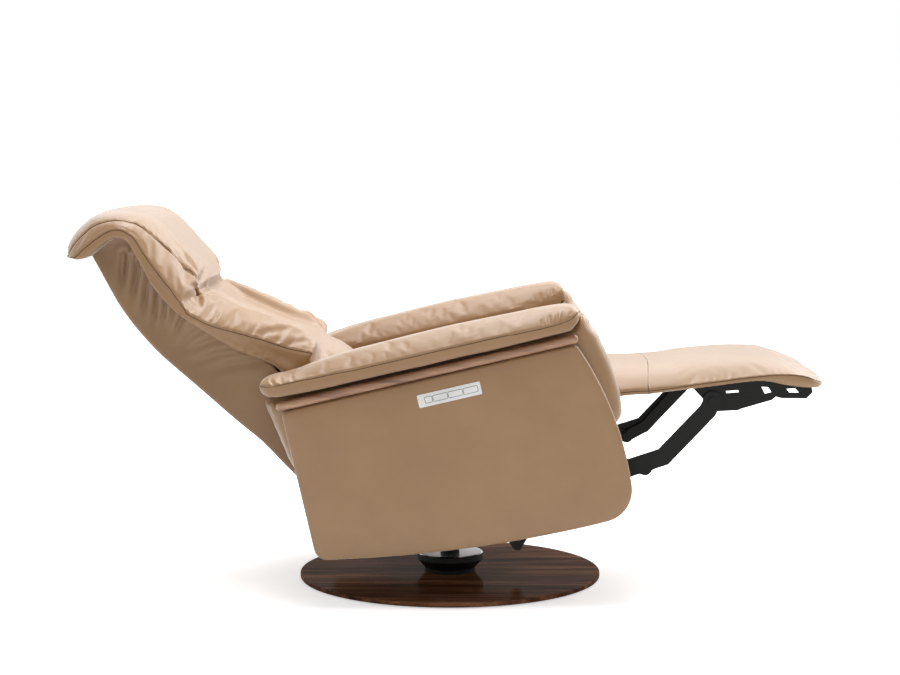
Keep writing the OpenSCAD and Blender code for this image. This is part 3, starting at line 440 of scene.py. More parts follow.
# Colours are given as 0 to 255, apart from the metals'
LEATHER = leather_material("leather", (156, 117, 72), (146, 107, 63))
# A darker copy of the leather for the recessed sides of the back and headrest: painted shade, as the leather
# there is the same as elsewhere.
LEATHER_PAINTED_SHADE = leather_material("leather_gusset", (141, 105, 64), (129, 94, 56), rough=(0.5, 0.62))
THREAD = coated_material("thread", (84, 60, 40), 0.7, grain=2400.0, depth=0.3)
WALNUT = wood_material("walnut_disc", [(40, 23, 13), (78, 49, 31), (114, 76, 51), (146, 101, 71)], (0, 0, 0.35),
                       rough=0.4, coat=0.1, shine=0.0)
WALNUT_TRIM = wood_material("walnut_trim", [(112, 78, 56), (156, 114, 84), (182, 138, 106), (200, 160, 126)],
                            (0, LIE, 0))
TIMBER = wood_material("beech", [(150, 112, 72), (176, 138, 96), (192, 156, 112), (206, 172, 130)], (0, LIE, 0),
                       rough=0.5, coat=0.0)
BLACK = coated_material("black_coat", (15, 15, 14), 0.5, shine=0.2)
BLACK_PLASTIC = coated_material("black_plastic", (24, 24, 24), 0.55, grain=500.0, depth=0.2)
BRIGHT = metal_material("bright_steel", (0.68, 0.68, 0.7), 0.22, brushed=(1, 1, 20))
ZINC = metal_material("zinc_steel", (0.52, 0.53, 0.55), 0.38)
BALLAST = metal_material("ballast_steel", (0.2, 0.2, 0.21), 0.55)
FELT = coated_material("felt", (48, 47, 46), 0.95, grain=700.0, depth=0.6)
ACETAL = coated_material("acetal", (226, 222, 210), 0.4)
PLATE = coated_material("control_plate", (252, 252, 247), 0.3, grain=600.0, depth=0.04, shine=0.9)
BUTTON = coated_material("button", (252, 252, 248), 0.36, depth=0.05, shine=0.9)
# Colour of the tubes round the buttons: painted shade of the gaps between buttons and plate.
BUTTON_GAP_SHADE = coated_material("button_outline", (96, 104, 110), 0.45)

# Materials of the CAD nodes. Those not named here are black.
CAD_LOOKS = [
    (FELT, "floor_liner"),
    (BALLAST, "ballast_plate"),
    (WALNUT, "base_disc"),
    (WALNUT_TRIM, "arm_trim_right arm_trim_left"),
    (TIMBER, "seat_side_rails seat_end_rails"),
    (BRIGHT, "hub_ring thrust_washer tilt_rod back_rod"),
    (ZINC, "hub_screws retaining_nut swivel_hub tilt_pins seat_springs back_springs"),
    (ACETAL, "swivel_bush"),
    (BLACK_PLASTIC, "foot_drive back_actuator tilt_actuator control_box switch_unit"),
    (PLATE, "control_plate"),
    (BUTTON, "button_1 button_2 button_3 button_4"),
]
NODE_MATERIALS = {name: material for material, names in CAD_LOOKS for name in names.split()}


def dress_cad_nodes():
    for name, ob in NODES.items():
        ob.data.materials.clear()
        ob.data.materials.append(NODE_MATERIALS.get(name, BLACK))


def finish_leather(ob, body, nodes, material=LEATHER):
    """Leather in place of nodes. A piece given no body is left unattached."""
    ob.data.materials.clear()
    ob.data.materials.append(material)
    if body:
        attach(ob, body)
    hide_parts(*nodes)


def seam_cord(name, line, skin=None, radius=0.0008):
    """Thin closed tube of thread along a line of points in metres, laid on a skin where one is given."""
    line = np.asarray(line, float)
    if skin is not None:
        line = on_skin(skin, line)
    t = np.gradient(line, axis=0)
    t /= np.linalg.norm(t, axis=1)[:, None]
    up = np.where(np.abs(t[:, [2]]) > 0.9, [[1.0, 0, 0]], [[0, 0, 1.0]])
    a = np.cross(t, up)
    a /= np.linalg.norm(a, axis=1)[:, None]
    b = np.cross(t, a)
    ring = [(math.cos(k * math.pi / 3), math.sin(k * math.pi / 3)) for k in range(6)]
    rings = np.array([[p + radius * (c * u + s * v) for c, s in ring] for p, u, v in zip(line, a, b)])
    ob = tube_mesh(name, rings)
    ob.data.materials.append(THREAD)
    return ob


def on_skin(ob, line):
    """Points moved to the nearest places of a skin, and smoothed along the line."""
    bm = bmesh.new()
    bm.from_mesh(ob.data)
    tree = BVHTree.FromBMesh(bm)
    bm.free()
    line = np.array([tree.find_nearest(Vector(p))[0] for p in line])
    for _ in range(4):
        line[1:-1] = line[1:-1] / 2 + (line[:-2] + line[2:]) / 4
    return np.array([tree.find_nearest(Vector(p))[0] for p in line])


def groove(ob, line, depth, width, pucker=0.0, reach=0.02, pitch=0.011, seed=0, facing=None):
    """Sinks a seam into a skin, with puckers that run from it and fade over reach. Where facing is given, they
    are only where the skin faces that way."""
    co = coords(ob)
    dist, place = near(co, on_skin(ob, line), 4 * reach)
    amount = -depth * np.exp(-((dist / width) ** 2))
    if pucker:
        wave = np.sin(2 * math.pi * place / pitch + 2.4 * field(co, 0.045, seed))
        wave *= np.exp(-dist / reach) * smoothstep(dist, 0.001, 0.008)
        if facing is not None:
            wave *= smoothstep(normals(ob) @ np.array(facing, float), -0.05, 0.2)
        amount += pucker * wave * (0.25 + 0.75 * smoothstep(field(co, 0.06, seed + 4), -0.3, 0.5))
    push(ob, amount)


def creases(ob, lines, plane, facing):
    """Sinks folds into a skin where it faces one way. Each is (points in the plane, depth, width), in mm, and
    runs out at its last point. plane names the two axes that the points give."""
    co, amount = coords(ob)[:, plane] * MM, 0.0
    turned_to = smoothstep(normals(ob) @ np.array(facing, float), 0.0, 0.35)
    for points, depth, width in lines:
        line = along(np.array(points, float), 14)
        dist, place = near(co, line, 6 * width)
        length = np.linalg.norm(np.diff(line, axis=0), axis=1).sum()
        d = dist / width
        shape = 0.4 * np.exp(-(((d - 2.0) / 1.1) ** 2)) - np.exp(-d * d)
        amount = amount + depth * shape * (1 - smoothstep(place, 0.4 * length, length))
    push(ob, amount * turned_to / MM)


def copied(folds, share, step, flip=1):
    """Folds for the other side of a piece: share as deep, and moved by step in the plane of their points."""
    return [([(flip * a + step[0], b + step[1]) for a, b in line], share * depth, width)
            for line, depth, width in folds]


def pin_near(co, lines, width, held=None):
    """Weights that hold the skin of a cushion along its seams, and wherever held says."""
    w = np.zeros(len(co))
    for line in lines:
        w = np.maximum(w, 1 - smoothstep(near(co, np.asarray(line))[0], width * 0.5, width))
    return w if held is None else np.maximum(w, held.astype(float))


def mirrored(points, side):
    """Points drawn for the left side, at +Y, put on the side asked for."""
    return np.asarray(points, float) * [1, side, 1]


# --- Arms ---


CORNER_STEPS = 7


def corner(a, b, c, r):
    """Corner b of an outline, rounded to radius r."""
    a, b, c = (np.array(p, float) for p in (a, b, c))
    u = (a - b) / np.linalg.norm(a - b)
    v = (c - b) / np.linalg.norm(c - b)
    half = math.acos(np.clip(u @ v, -1, 1)) / 2
    m = b + (u + v) / np.linalg.norm(u + v) * r / math.sin(half)
    s, e = b + u * r / math.tan(half) - m, b + v * r / math.tan(half) - m
    a0 = math.atan2(s[1], s[0])
    turn = (math.atan2(e[1], e[0]) - a0 + 3 * math.pi) % (2 * math.pi) - math.pi
    angles = [a0 + turn * i / CORNER_STEPS for i in range(CORNER_STEPS + 1)]
    return [m + r * np.array([math.cos(angle), math.sin(angle)]) for angle in angles]


def rounded(points):
    """Closed outline from (x, z, radius) corners."""
    out = []
    k = len(points)
    for i, (x, z, r) in enumerate(points):
        if r > 0:
            out += corner(points[i - 1][:2], (x, z), points[(i + 1) % k][:2], r)
        else:
            out.append(np.array([x, z], float))
    return np.array(out)


def inward(loop):
    """Unit normals of a closed loop, pointing into it."""
    d = np.roll(loop, -1, 0) - np.roll(loop, 1, 0)
    d /= np.linalg.norm(d, axis=1)[:, None]
    area = np.sum(loop[:, 0] * np.roll(loop[:, 1], -1) - np.roll(loop[:, 0], -1) * loop[:, 1])
    return np.stack([-d[:, 1], d[:, 0]], -1) * (1 if area > 0 else -1)


def soft_slab(name, outline, y0, y1, edge, bulge, cell):
    """Padded slab with an outline in the XZ plane from y0 to y1: rounded edges, and a bulging rim."""
    n = int(np.linalg.norm(outline - np.roll(outline, -1, 0), axis=1).sum() / cell)
    loop = even_loop(outline, n)
    normal = inward(loop)
    way, width = np.sign(y1 - y0), abs(y1 - y0)
    turn = [(edge * (1 - math.sin(a)), edge * (1 - math.cos(a))) for a in np.linspace(0, math.pi / 2, 6)]
    rings = [(inset, y0 + y * way) for inset, y in turn]
    for t in np.linspace(0, 1, max(3, int(width / cell)))[1:-1]:
        rings.append((-bulge * math.sin(math.pi * t), y0 + way * (edge + t * (width - 2 * edge))))
    rings += [(inset, y1 - y * way) for inset, y in turn[::-1]]
    verts = [(x, y, z) for inset, y in rings for x, z in loop + normal * inset]
    m = len(rings)
    faces = ring_faces(m, n) + [tuple(range(n)), tuple(range((m - 1) * n, m * n))]
    return mesh_object(name, np.array(verts) / MM, faces)


def place_arm_piece(ob, side):
    """Puts a piece of an arm, drawn in metres for the left, on its side of the seat as it lies."""
    set_coords(ob, mirrored(coords(ob), side))
    if side == RIGHT:
        ob.data.flip_normals()
    to_seat(ob)


PANEL_TOP, PANEL_REAR, PANEL_FRONT = 487, -287, 377
PANEL_FACE, PANEL_BACK = 350, 323
CORE_FACE, CORE_INNER = 322, 251
CORE_FRONT, CORE_TOP, CORE_INSET = 394, 540, 12
# Radius of an arc, and where it runs farthest out
PANEL_ARC, CORE_ARC, BELLY_ARC = (672, 234), (458, 360), (2810, 270)
BELLY_LOW = 116
RIM_REACH = 400


def sagitta(arc, t):
    radius, middle = arc
    return math.sqrt(radius**2 - (t - middle) ** 2)


def panel_x(z):
    return PANEL_FRONT - PANEL_ARC[0] + sagitta(PANEL_ARC, z)


def core_x(z):
    return CORE_FRONT - CORE_ARC[0] + sagitta(CORE_ARC, z)


def belly(x):
    return BELLY_LOW + BELLY_ARC[0] - sagitta(BELLY_ARC, x)


def panel_outline():
    return rounded(
        [(PANEL_REAR, PANEL_TOP, 4), (PANEL_REAR, belly(PANEL_REAR), 26)]
        + [(x, belly(x), 0) for x in range(-180, 270, 40)]
        + [(PANEL_FRONT - 4, BELLY_LOW + 1, 66)]
        + [(panel_x(z), z, 0) for z in range(200, 480, 20)]
        + [(panel_x(PANEL_TOP), PANEL_TOP, 4)]
    )


def to_seat(ob):
    set_coords(ob, on_seat(coords(ob) * MM))


def side_panel(side):
    """Padded panel, pulled in along its rim and rippled towards its foot."""
    ob = soft_slab("side_panel_leather_" + WORD[side], panel_outline(), PANEL_FACE, PANEL_BACK, 7, 1.0, 9.0)
    remesh(ob, 0.0055)
    relax(ob, 2)
    co = coords(ob) * MM
    outline = even_loop(panel_outline(), 90)
    rim = np.stack([outline[:, 0], np.full(len(outline), PANEL_FACE), outline[:, 1]], -1)
    dist, _ = near(co, np.vstack([rim, rim[:1]]), RIM_REACH)
    face = smoothstep(co[:, 1], 338, 349)
    inner = np.minimum(dist, RIM_REACH) * face
    swell = 1.6 * smoothstep(inner, 0, 60) - 0.9 * np.exp(-(((inner - 9) / 4.0) ** 2)) * face
    ripples = 0.7 * np.sin(co[:, 0] / 17 + 2.2 * field(co, 90.0, 2))
    ripples *= np.exp(-np.maximum(co[:, 2] - 150, 0) / 45)
    ripples += 0.5 * field(co * [1, 1, 0.45], 55.0, 5) + 0.8 * field(co, 160.0, 9)
    co[:, 1] += (swell + ripples * face * smoothstep(inner, 6, 40)) * face
    set_coords(ob, co / MM)
    place_arm_piece(ob, side)
    finish_leather(ob, "seat", ["side_panel_" + WORD[side]])


def arm_core(side):
    """Inner body of an arm, gathered under the front of the pad."""
    rear = PANEL_REAR + 8
    outline = rounded(
        [(-321, 513, 3), (-296, 373, 30), (rear, 330, 0), (rear, belly(rear) + CORE_INSET, 24)]
        + [(x, belly(x) + CORE_INSET, 0) for x in range(-150, 240, 60)]
        + [(350, 130, 50), (358, 296, 14), (core_x(314) - 1, 314, 30)]
        + [(core_x(z), z, 0) for z in range(360, 536, 18)]
        + [(core_x(CORE_TOP), CORE_TOP, 3), (338, 533, 6), (318, 513, 6)]
    )
    ob = soft_slab("arm_core_leather_" + WORD[side], outline, CORE_FACE, CORE_INNER, 30, 2.5, 8.0)
    remesh(ob, 0.006)
    relax(ob, 3)
    co = coords(ob) * MM
    front = smoothstep(co[:, 0], 330, 360)
    gathers = np.sin(co[:, 2] / 7.5 + 1.5 * field(co, 60.0, 3)) * smoothstep(co[:, 2], 455, 505) * front
    set_coords(ob, co / MM)
    push(ob, (1.1 * gathers + 0.6 * field(co, 70.0, 8)) / MM)
    place_arm_piece(ob, side)
    finish_leather(ob, "seat", ["arm_core_" + WORD[side]])


PAD_MID, PAD_HALF = 311, 61
PAD_ENDS = (-319, 351)
PAD_CORNER, INNER_CORNER = 36, 14
INNER_LIP = 503  # how low the pad reaches on its inner side
PAD_BOTTOM = [(-319, 541), (-316, 534), (-311, 529), (-296, 522), (-212, 516), (271, 516), (330, 523),
              (351, 546)]
PAD_SEAM = [(-319, 549), (-293, 544), (-215, 542), (-106, 539), (34, 539), (171, 538), (276, 536), (321, 539),
            (351, 550)]
PAD_CREST = [(-319, 553), (-312, 557), (-298, 561), (-280, 561), (-260, 558), (-230, 560), (-186, 567),
             (-133, 571), (-59, 574), (41, 576), (149, 575), (232, 572), (297, 572), (322, 571), (338, 566),
             (347, 558), (351, 551)]
# Creases at the pad's ends, as (x, z) points with their depth and width
PAD_CREASES = [
    ([(-286, 548), (-290, 555), (-289, 563)], 2.0, 3.0),
    ([(-268, 547), (-271, 555), (-268, 564)], 1.6, 3.0),
    ([(-246, 546), (-248, 554), (-243, 562)], 1.3, 3.2),
    ([(272, 541), (270, 548), (273, 558)], 1.4, 2.8),
    ([(285, 541), (285, 549), (289, 562)], 1.8, 3.0),
    ([(298, 542), (300, 550), (305, 563)], 2.0, 3.0),
    ([(311, 543), (314, 551), (321, 564)], 2.0, 3.0),
]


def level(curve, x):
    """Height of a curve of (x, z) points at x."""
    c = np.array(curve, float)
    return np.interp(x, c[:, 0], c[:, 1])


def pad_half(x, radius=PAD_CORNER):
    """Half width of the arm pad, whose corners are rounded in plan."""
    e = np.clip(np.maximum(PAD_ENDS[0] + radius - x, x - PAD_ENDS[1] + radius) / radius, 0, 1)
    return PAD_HALF - radius * (1 - np.sqrt(1 - 0.995 * e * e))


def pad_section(x, low, seam, top):
    """Section of the arm pad at x: the outer side with its seam, and a plain inner side that reaches lower."""
    h = top - seam
    inner_low = INNER_LIP if x > PAD_ENDS[0] + 20 else low
    outer = [(0, low), (0.6, low), (0.93, low + 0.5), (0.99, low + 0.2 * (seam - low)), (1.0, (low + seam) / 2),
             (0.992, seam - 1.5), (0.985, seam), (0.985, seam + 2), (0.965, seam + 0.2 * h),
             (0.90, seam + 0.42 * h), (0.79, seam + 0.63 * h), (0.63, seam + 0.81 * h),
             (0.42, seam + 0.94 * h), (0, top)]
    plain = [(0, low), (0.6, low), (0.9, low - 1), (0.93, inner_low), (0.985, inner_low + 0.5),
             (1.0, inner_low + 6), (1.0, (low + seam) / 2), (1.0, seam), (0.998, seam + 0.1 * h)] + outer[9:]
    sides = [spline(np.array([(width * a, z) for a, z in half]), 52)
             for half, width in ((outer, pad_half(x)), (plain, pad_half(x, INNER_CORNER)))]
    section = np.vstack([sides[0], sides[1][::-1][1:-1] * [-1, 1]])
    return np.stack([np.full(len(section), x), PAD_MID + section[:, 0], section[:, 1]], -1)


def arm_pad(side):
    turn = PAD_CORNER * (1 - np.cos(np.linspace(0, math.pi / 2, 12)))
    straight = np.linspace(PAD_ENDS[0] + PAD_CORNER, PAD_ENDS[1] - PAD_CORNER, 90)[1:-1]
    xs = np.concatenate([PAD_ENDS[0] + turn, straight, (PAD_ENDS[1] - turn)[::-1]])
    crest_line, bottom_line = along(PAD_CREST, 120), along(PAD_BOTTOM, 120)
    rings = [pad_section(x, level(bottom_line, x), level(PAD_SEAM, x), level(crest_line, x)) for x in xs]
    ob = tube_mesh("arm_pad_leather_" + WORD[side], np.array(rings) / MM)
    seam_line = np.array([(x, PAD_MID + pad_half(x), level(PAD_SEAM, x)) for x in xs]) / MM
    remesh(ob, 0.005)
    co = coords(ob)
    below = co[:, 2] < level(PAD_SEAM, co[:, 0] * MM) / MM - 0.004
    puff(ob, pin_near(co, [seam_line[::2]], 0.008, below), spare=0.004, start=0.002, cap=0.005)
    subdivide(ob)
    groove(ob, seam_line[::2], 0.0022, 0.003)
    creases(ob, PAD_CREASES, XZ, (0, 1, 0.2))
    creases(ob, copied(PAD_CREASES, 0.35, (7, 0)), XZ, (0, -1, 0.2))
    push(ob, 0.0007 * field(coords(ob), 0.07, 12))
    place_arm_piece(ob, side)
    finish_leather(ob, "seat", ["arm_pad_" + WORD[side]])
    cord = seam_cord("arm_pad_seam_" + WORD[side], on_seat(mirrored(seam_line * MM, side)), ob, 0.0007)
    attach(cord, "seat")


TRIM_ENDS = (-294, 334)
TRIM_LOW, TRIM_HIGH, TRIM_EDGE = 489, 507, 8
TRIM_BACK, TRIM_FACE = 323, 357


def arm_trim(side):
    """Walnut rail with rounded ends and a rounded outer edge."""
    (x0, x1), z0, z1 = TRIM_ENDS, TRIM_LOW, TRIM_HIGH
    outline = rounded([(x, z, TRIM_EDGE) for x, z in ((x0, z0), (x1, z0), (x1, z1), (x0, z1))])
    ob = soft_slab("arm_trim_walnut_" + WORD[side], outline, TRIM_BACK, TRIM_FACE, TRIM_EDGE, 0.0, 5.0)
    place_arm_piece(ob, side)
    ob.data.materials.append(WALNUT_TRIM)
    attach(ob, "seat")
    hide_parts("arm_trim_" + WORD[side])


# --- Seat and footrest ---


def roll(t, power, depth):
    """Height share across a crowned pad, from 1 at the middle to 0 at its sides."""
    return (1 - np.abs(t) ** power) ** depth


def crowned_pad(name, stations, across=72):
    """Pad from stations (x, half width, underside z, side seam z, crest z), crowned between its side seams."""
    t = np.sin(np.linspace(-math.pi / 2, math.pi / 2, across))
    rings = []
    for x, half, under, seam, crest in stations:
        y = half * t
        z = seam + (crest - seam) * roll(t, 3.0, 0.52)
        upper = np.stack([np.full(across, x), y, z], -1)
        down = [(x, half * 0.998, seam - (seam - under) * 0.5), (x, half * 0.985, under + 1.5)]
        lower = np.stack([np.full(24, x), np.linspace(half * 0.965, -half * 0.965, 24), np.full(24, under)], -1)
        up = [(x, -half * 0.985, under + 1.5), (x, -half * 0.998, seam - (seam - under) * 0.5)]
        rings.append(np.vstack([upper, down, lower, up]))
    return tube_mesh(name, np.array(rings) / MM)


FOOT_SEAM = [(455, 346), (500, 341), (563, 336), (610, 331), (667, 326), (729, 317), (779, 302), (812, 279)]
FOOT_CREST = [(455, 386), (477, 383), (530, 377), (567, 373), (610, 367), (656, 359), (725, 343), (784, 317),
              (819, 286)]
FOOT_UNDER = [(455, 338), (519, 332), (580, 325), (644, 319), (695, 311), (744, 290), (799, 271), (812, 271)]
FOOT_START, FOOT_END = 457, 819
FOOT_HALF, FOOT_CORNER = 246, 62
FLAP_START, FLAP_BOW = 381, 24
SEAT_HALF, SEAT_SEAM_Y = 245, 228


def foot_half(x):
    """Half width of the footrest, with its far corners rounded in plan."""
    e = np.maximum(0.0, x - (FOOT_END + 1 - FOOT_CORNER))
    return FOOT_HALF - FOOT_CORNER + np.sqrt(np.maximum(0.0, FOOT_CORNER**2 - e * e * 0.985))


def bowed(ob, fixed):
    """Bends the join of flap and footrest into a shallow curve in plan. What is at fixed, in mm, stays."""
    co = coords(ob) * MM
    share = np.clip((co[:, 0] - fixed) / (FOOT_START - fixed), 0, 1)
    co[:, 0] += FLAP_BOW * (1 - (co[:, 1] / FOOT_HALF) ** 2) * share
    set_coords(ob, co / MM)


def foot_cushion():
    xs = np.concatenate([[FOOT_START, FOOT_START + 0.7, FOOT_START + 2], np.linspace(461, 760, 52),
                         np.linspace(764, FOOT_END, 18)])
    seam_curve, crest_curve, under_curve = (along(c, 80) for c in (FOOT_SEAM, FOOT_CREST, FOOT_UNDER))
    stations = []
    for x in xs:
        seam, crest, under = level(seam_curve, x), level(crest_curve, x), level(under_curve, x)
        stations.append((x, foot_half(x), min(under, seam - 6), seam, max(crest, seam + 3)))
    ob = crowned_pad("footrest_leather", stations)
    bowed(ob, 620)
    edge = np.array([(x, foot_half(x), level(seam_curve, x)) for x in xs[3::2]]) / MM
    edges = [mirrored(edge, LEFT), mirrored(edge, RIGHT)]
    co = coords(ob)
    below = co[:, 2] * MM < level(seam_curve, co[:, 0] * MM) - 1
    held = np.maximum(below, 1 - smoothstep(co[:, 0], 0.465, 0.56))
    puff(ob, pin_near(co, edges, 0.006, held), spare=0.002, start=0.002, cap=0.005)
    subdivide(ob)
    for k, line in enumerate(edges):
        groove(ob, line, 0.0018, 0.003, 0.0008, 0.011, 0.015, 1 + k)
    to_seat(ob)
    finish_leather(ob, "footrest", ["foot_cushion", "foot_board"])
    for side, word in WORD.items():
        cord = seam_cord("footrest_seam_" + word, on_seat(mirrored(edge * MM, side)), ob)
        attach(cord, "footrest")


def seat_flap():
    xs = np.concatenate([np.linspace(FLAP_START, 450, 20), [453, 455, FOOT_START - 0.6, FOOT_START - 0.2]])
    seam = along([(FLAP_START, 357), (397, 355), (430, 351), (457, 345.5)], 30)
    crest = along([(FLAP_START, 412), (392, 404), (406, 399), (430, 392), (446, 388), (457, 385.5)], 40)
    ob = crowned_pad("seat_flap_leather", [
        (x, SEAT_HALF if x > 385 else 242, level(seam, x) - 8, level(seam, x), level(crest, x)) for x in xs])
    bowed(ob, FLAP_START)
    subdivide(ob)
    edge = np.array([(x, SEAT_HALF, level(seam, x)) for x in np.linspace(386, 456, 16)]) / MM
    for side in WORD:
        groove(ob, mirrored(edge, side), 0.0018, 0.003)
    push(ob, 0.0006 * field(coords(ob), 0.06, 15))
    to_seat(ob)
    finish_leather(ob, "seat", ["seat_flap"])
    cords = [seam_cord("flap_seam_" + word, on_seat(mirrored(edge * MM, side)), ob)
             for side, word in WORD.items()]
    for cord in cords:
        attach(cord, "seat")
    for piece in [ob] + cords:
        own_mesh(piece)


def seat_cushion():
    profile = [(-160, 378), (-162, 400), (-158, 430), (-145, 437), (-60, 441), (40, 444), (150, 450),
               (250, 455), (320, 456), (355, 448), (374, 428), (377, 405), (372, 384), (362, 377)]
    out = along(profile, 90)
    base = along([(362, 377), (100, 377), (-160, 378)], 30)[1:-1]
    section = np.vstack([out, base])
    centre = np.array([110.0, 405.0])
    rings = []
    for t in np.sin(np.linspace(-math.pi / 2, math.pi / 2, 64)):
        q = centre + (section - centre) * [1 - 0.03 * (1 - roll(t, 7.0, 0.5)), 1]
        top = smoothstep(q[:, 1], 380, 430)
        z = q[:, 1] + (5 * roll(t, 2.0, 1.0) - 17 * (1 - roll(t, 6.0, 0.5))) * top
        rings.append(np.stack([q[:, 0], np.full(len(q), SEAT_HALF * t), z], -1))
    ob = tube_mesh("seat_leather", np.array(rings) / MM)
    seam = np.array([(x, SEAT_SEAM_Y, level(out[8:60], x) - 3) for x in np.linspace(-140, 330, 40)]) / MM
    seams = [mirrored(seam, LEFT), mirrored(seam, RIGHT)]
    cross = np.array([(352, y, 447) for y in np.linspace(2 - SEAT_SEAM_Y, SEAT_SEAM_Y - 2, 40)]) / MM
    remesh(ob, 0.006)
    co = coords(ob)
    puff(ob, pin_near(co, seams, 0.008, co[:, 2] < 0.385), start=0.006, cap=0.014)
    subdivide(ob)
    groove(ob, cross, 0.002, 0.004, 0.0005, 0.02, 0.03)
    for line in seams:
        groove(ob, line, 0.002, 0.004, 0.001, 0.02, 0.017)
    to_seat(ob)
    finish_leather(ob, "seat", ["seat_cushion"])


# --- Back and headrest ---

# Rows of the cushion from the lowest up: seam x, z, crest x, z, middle x, z, half width, crest's Y, boxing's
# edge x, z. The first four tuck down behind the seat.
ROWS = [
    (20, 5, 24, 5, 26, 5, 224, 150, 6, 5),
    (22, 50, 27, 50, 29, 50, 228, 150, 8, 50),
    (26, 94, 31, 94, 33, 94, 230, 156, 16, 94),
    (56, 112, 70, 112, 92, 112, 231, 168, 44, 112),
    (92, 112, 116, 112, 170, 116, 232, 176, 60, 112),
    (98, 160, 124, 164, 166, 158, 234, 176, 62, 166),
    (118, 188, 140, 194, 150, 192, 239, 180, 64, 198),
    (136, 203, 158, 212, 140, 208, 243, 186, 64, 215),
    (106, 250, 150, 250, 120, 243, 244, 180, 60, 246),
    (86, 291, 130, 295, 98, 286, 252, 174, 47, 280),
    (68, 328, 114, 334, 82, 326, 263, 168, 32, 322),
    (35, 389, 94, 386, 62, 380, 280, 160, 16, 394),
    (23.5, 424, 80, 418, 66, 424, 284, 154, 9, 428),
    (20, 442, 68, 444, 58, 446, 284, 150, 6, 443),
    (20.5, 454, 46, 456, 44, 453, 283, 148, 4, 454),
    (22, 464, 74, 464, 78, 459, 283, 149, 3, 465),
    (25.5, 482, 88, 480, 87, 477, 284, 150, 4, 484),
    (29.5, 502, 90, 499, 90, 497, 285, 152, 4, 500),
    (33.5, 532, 90, 532, 93, 533, 286, 156, 8, 532),
    (38.5, 568, 92, 567, 95, 566, 286, 160, 18, 568),
    (45, 600, 94, 600, 96, 599, 286, 164, 29, 604),
    (51, 626, 94, 636, 95, 637, 286, 168, 36, 630),
    (48, 650, 84, 668, 86, 668, 286, 172, 34, 644),
    (36, 669, 58, 698, 60, 699, 286, 176, 24, 656),
    (8, 679, 20, 725, 20, 727, 286, 180, 0, 662),
    (-20, 683, -18, 729, -18, 731, 286, 182, -24, 665),
    (-48, 685, -50, 726, -50, 729, 285, 184, -44, 668),
    (-68, 687, -74, 714, -74, 716, 283, 184, -60, 678),
    (-76, 692, -84, 700, -84, 702, 280, 184, -72, 690),
]
FIRST_SEAM_ROW, FIRST_HEAD_ROW, CURL_ROW = 7, 17, 22
# Distance of the headrest's second seam from the first, upwards from the tuft
INNER_SEAM = [72, 70, 65, 56, 44, 34, 28, 25, 24, 24, 24, 24, 24]


def half_section(row):
    """Half of a cushion's section, from the middle round the wing to the seam and in behind it."""
    sx, sz, cx, cz, mx, mz, half, cy, *under = row
    s, c, m = np.array([sx, sz], float), np.array([cx, cz], float), np.array([mx, mz], float)
    u = np.array(under, float)
    pts = [
        (m, 0.0),
        (m * 0.92 + c * 0.08, cy * 0.42),
        (m * 0.62 + c * 0.38, cy * 0.70),
        (c, cy),
        (s + (c - s) * 0.95, cy + (half - cy) * 0.30),
        (s + (c - s) * 0.80, cy + (half - cy) * 0.58),
        (s + (c - s) * 0.52, cy + (half - cy) * 0.84),
        (s + (c - s) * 0.20, half - 0.5),
        (s, half - 0.5),
        (s * 0.5 + u * 0.5, half - 4.0),
        (u, half - 9.0),
        (u, (half - 9.0) * 0.6),
        (u, 0.0),
    ]
    return np.array([(p[0], y, p[1]) for p, y in pts])


TUFT = (-205, 461)
# Folds of the back and headrest on the right side, as (y, z) points with their depth and width
FOLDS = [
    ([TUFT, (-194, 498), (-176, 545), (-152, 600)], 2.8, 6),
    ([TUFT, (-212, 500), (-214, 545), (-206, 590)], 2.2, 6),
    ([TUFT, (-176, 490), (-150, 530), (-130, 560)], 1.8, 6),
    ([TUFT, (-232, 474), (-252, 482), (-266, 487)], 1.8, 5),
    ([TUFT, (-150, 459), (-80, 457), (0, 457)], 2.6, 5),
    ([TUFT, (-228, 449), (-250, 438), (-276, 427)], 4.2, 5),
    ([TUFT, (-206, 436), (-212, 412), (-222, 394)], 2.6, 5),
    ([TUFT, (-186, 434), (-168, 404), (-160, 380)], 2.0, 6),
    ([(-284, 440), (-262, 444), (-244, 449)], 1.8, 3),
    ([(-280, 394), (-256, 398), (-236, 406)], 2.8, 3),
    ([(-277, 372), (-256, 376), (-240, 384)], 1.0, 4),
    ([(-262, 322), (-238, 326), (-218, 336)], 1.3, 5),
    ([(-254, 298), (-234, 302), (-214, 312)], 1.0, 5),
    ([(-250, 272), (-228, 274), (-208, 284)], 1.5, 5),
    ([(-246, 246), (-226, 250), (-206, 262)], 1.0, 5),
]
FOLDS_ON_BOTH = 11
# Edges of the wings against the middle of the back
WING_EDGE = [(128, 440), (132, 380), (138, 300), (146, 215), (150, 170)]
WING_EDGES = [([(side * y, z) for y, z in WING_EDGE], 5.5, 10) for side in WORD]
# Deeper slanting folds of the far wing
WING_FOLDS = [
    ([(280, 400), (235, 378), (180, 372), (150, 374)], 2.8, 9),
    ([(266, 342), (225, 322), (180, 316), (150, 318)], 4.0, 10),
    ([(256, 306), (215, 286), (175, 280), (145, 282)], 3.4, 9),
    ([(248, 262), (210, 246), (180, 240), (155, 240)], 2.6, 8),
]


def dimple(ob, centre, radius, depth):
    r = np.linalg.norm(coords(ob) - centre, axis=1)
    push(ob, -depth * np.exp(-((r / radius) ** 2)))


def split_blend(ob):
    """Bakes a piece's placement into its mesh."""
    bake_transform(ob)


def inner_seam(side):
    """Line of the headrest's second seam in metres, from the tuft up and over the curl."""
    line = []
    for row, inset in zip(ROWS[FIRST_HEAD_ROW - 1:], INNER_SEAM):
        y, section = row[6] - inset, half_section(row)[:8]
        x, z = (np.interp(y, section[:, 1], section[:, k]) for k in XZ)
        line.append([x, side * y, z])
    return spline(np.array(line), 80) / MM


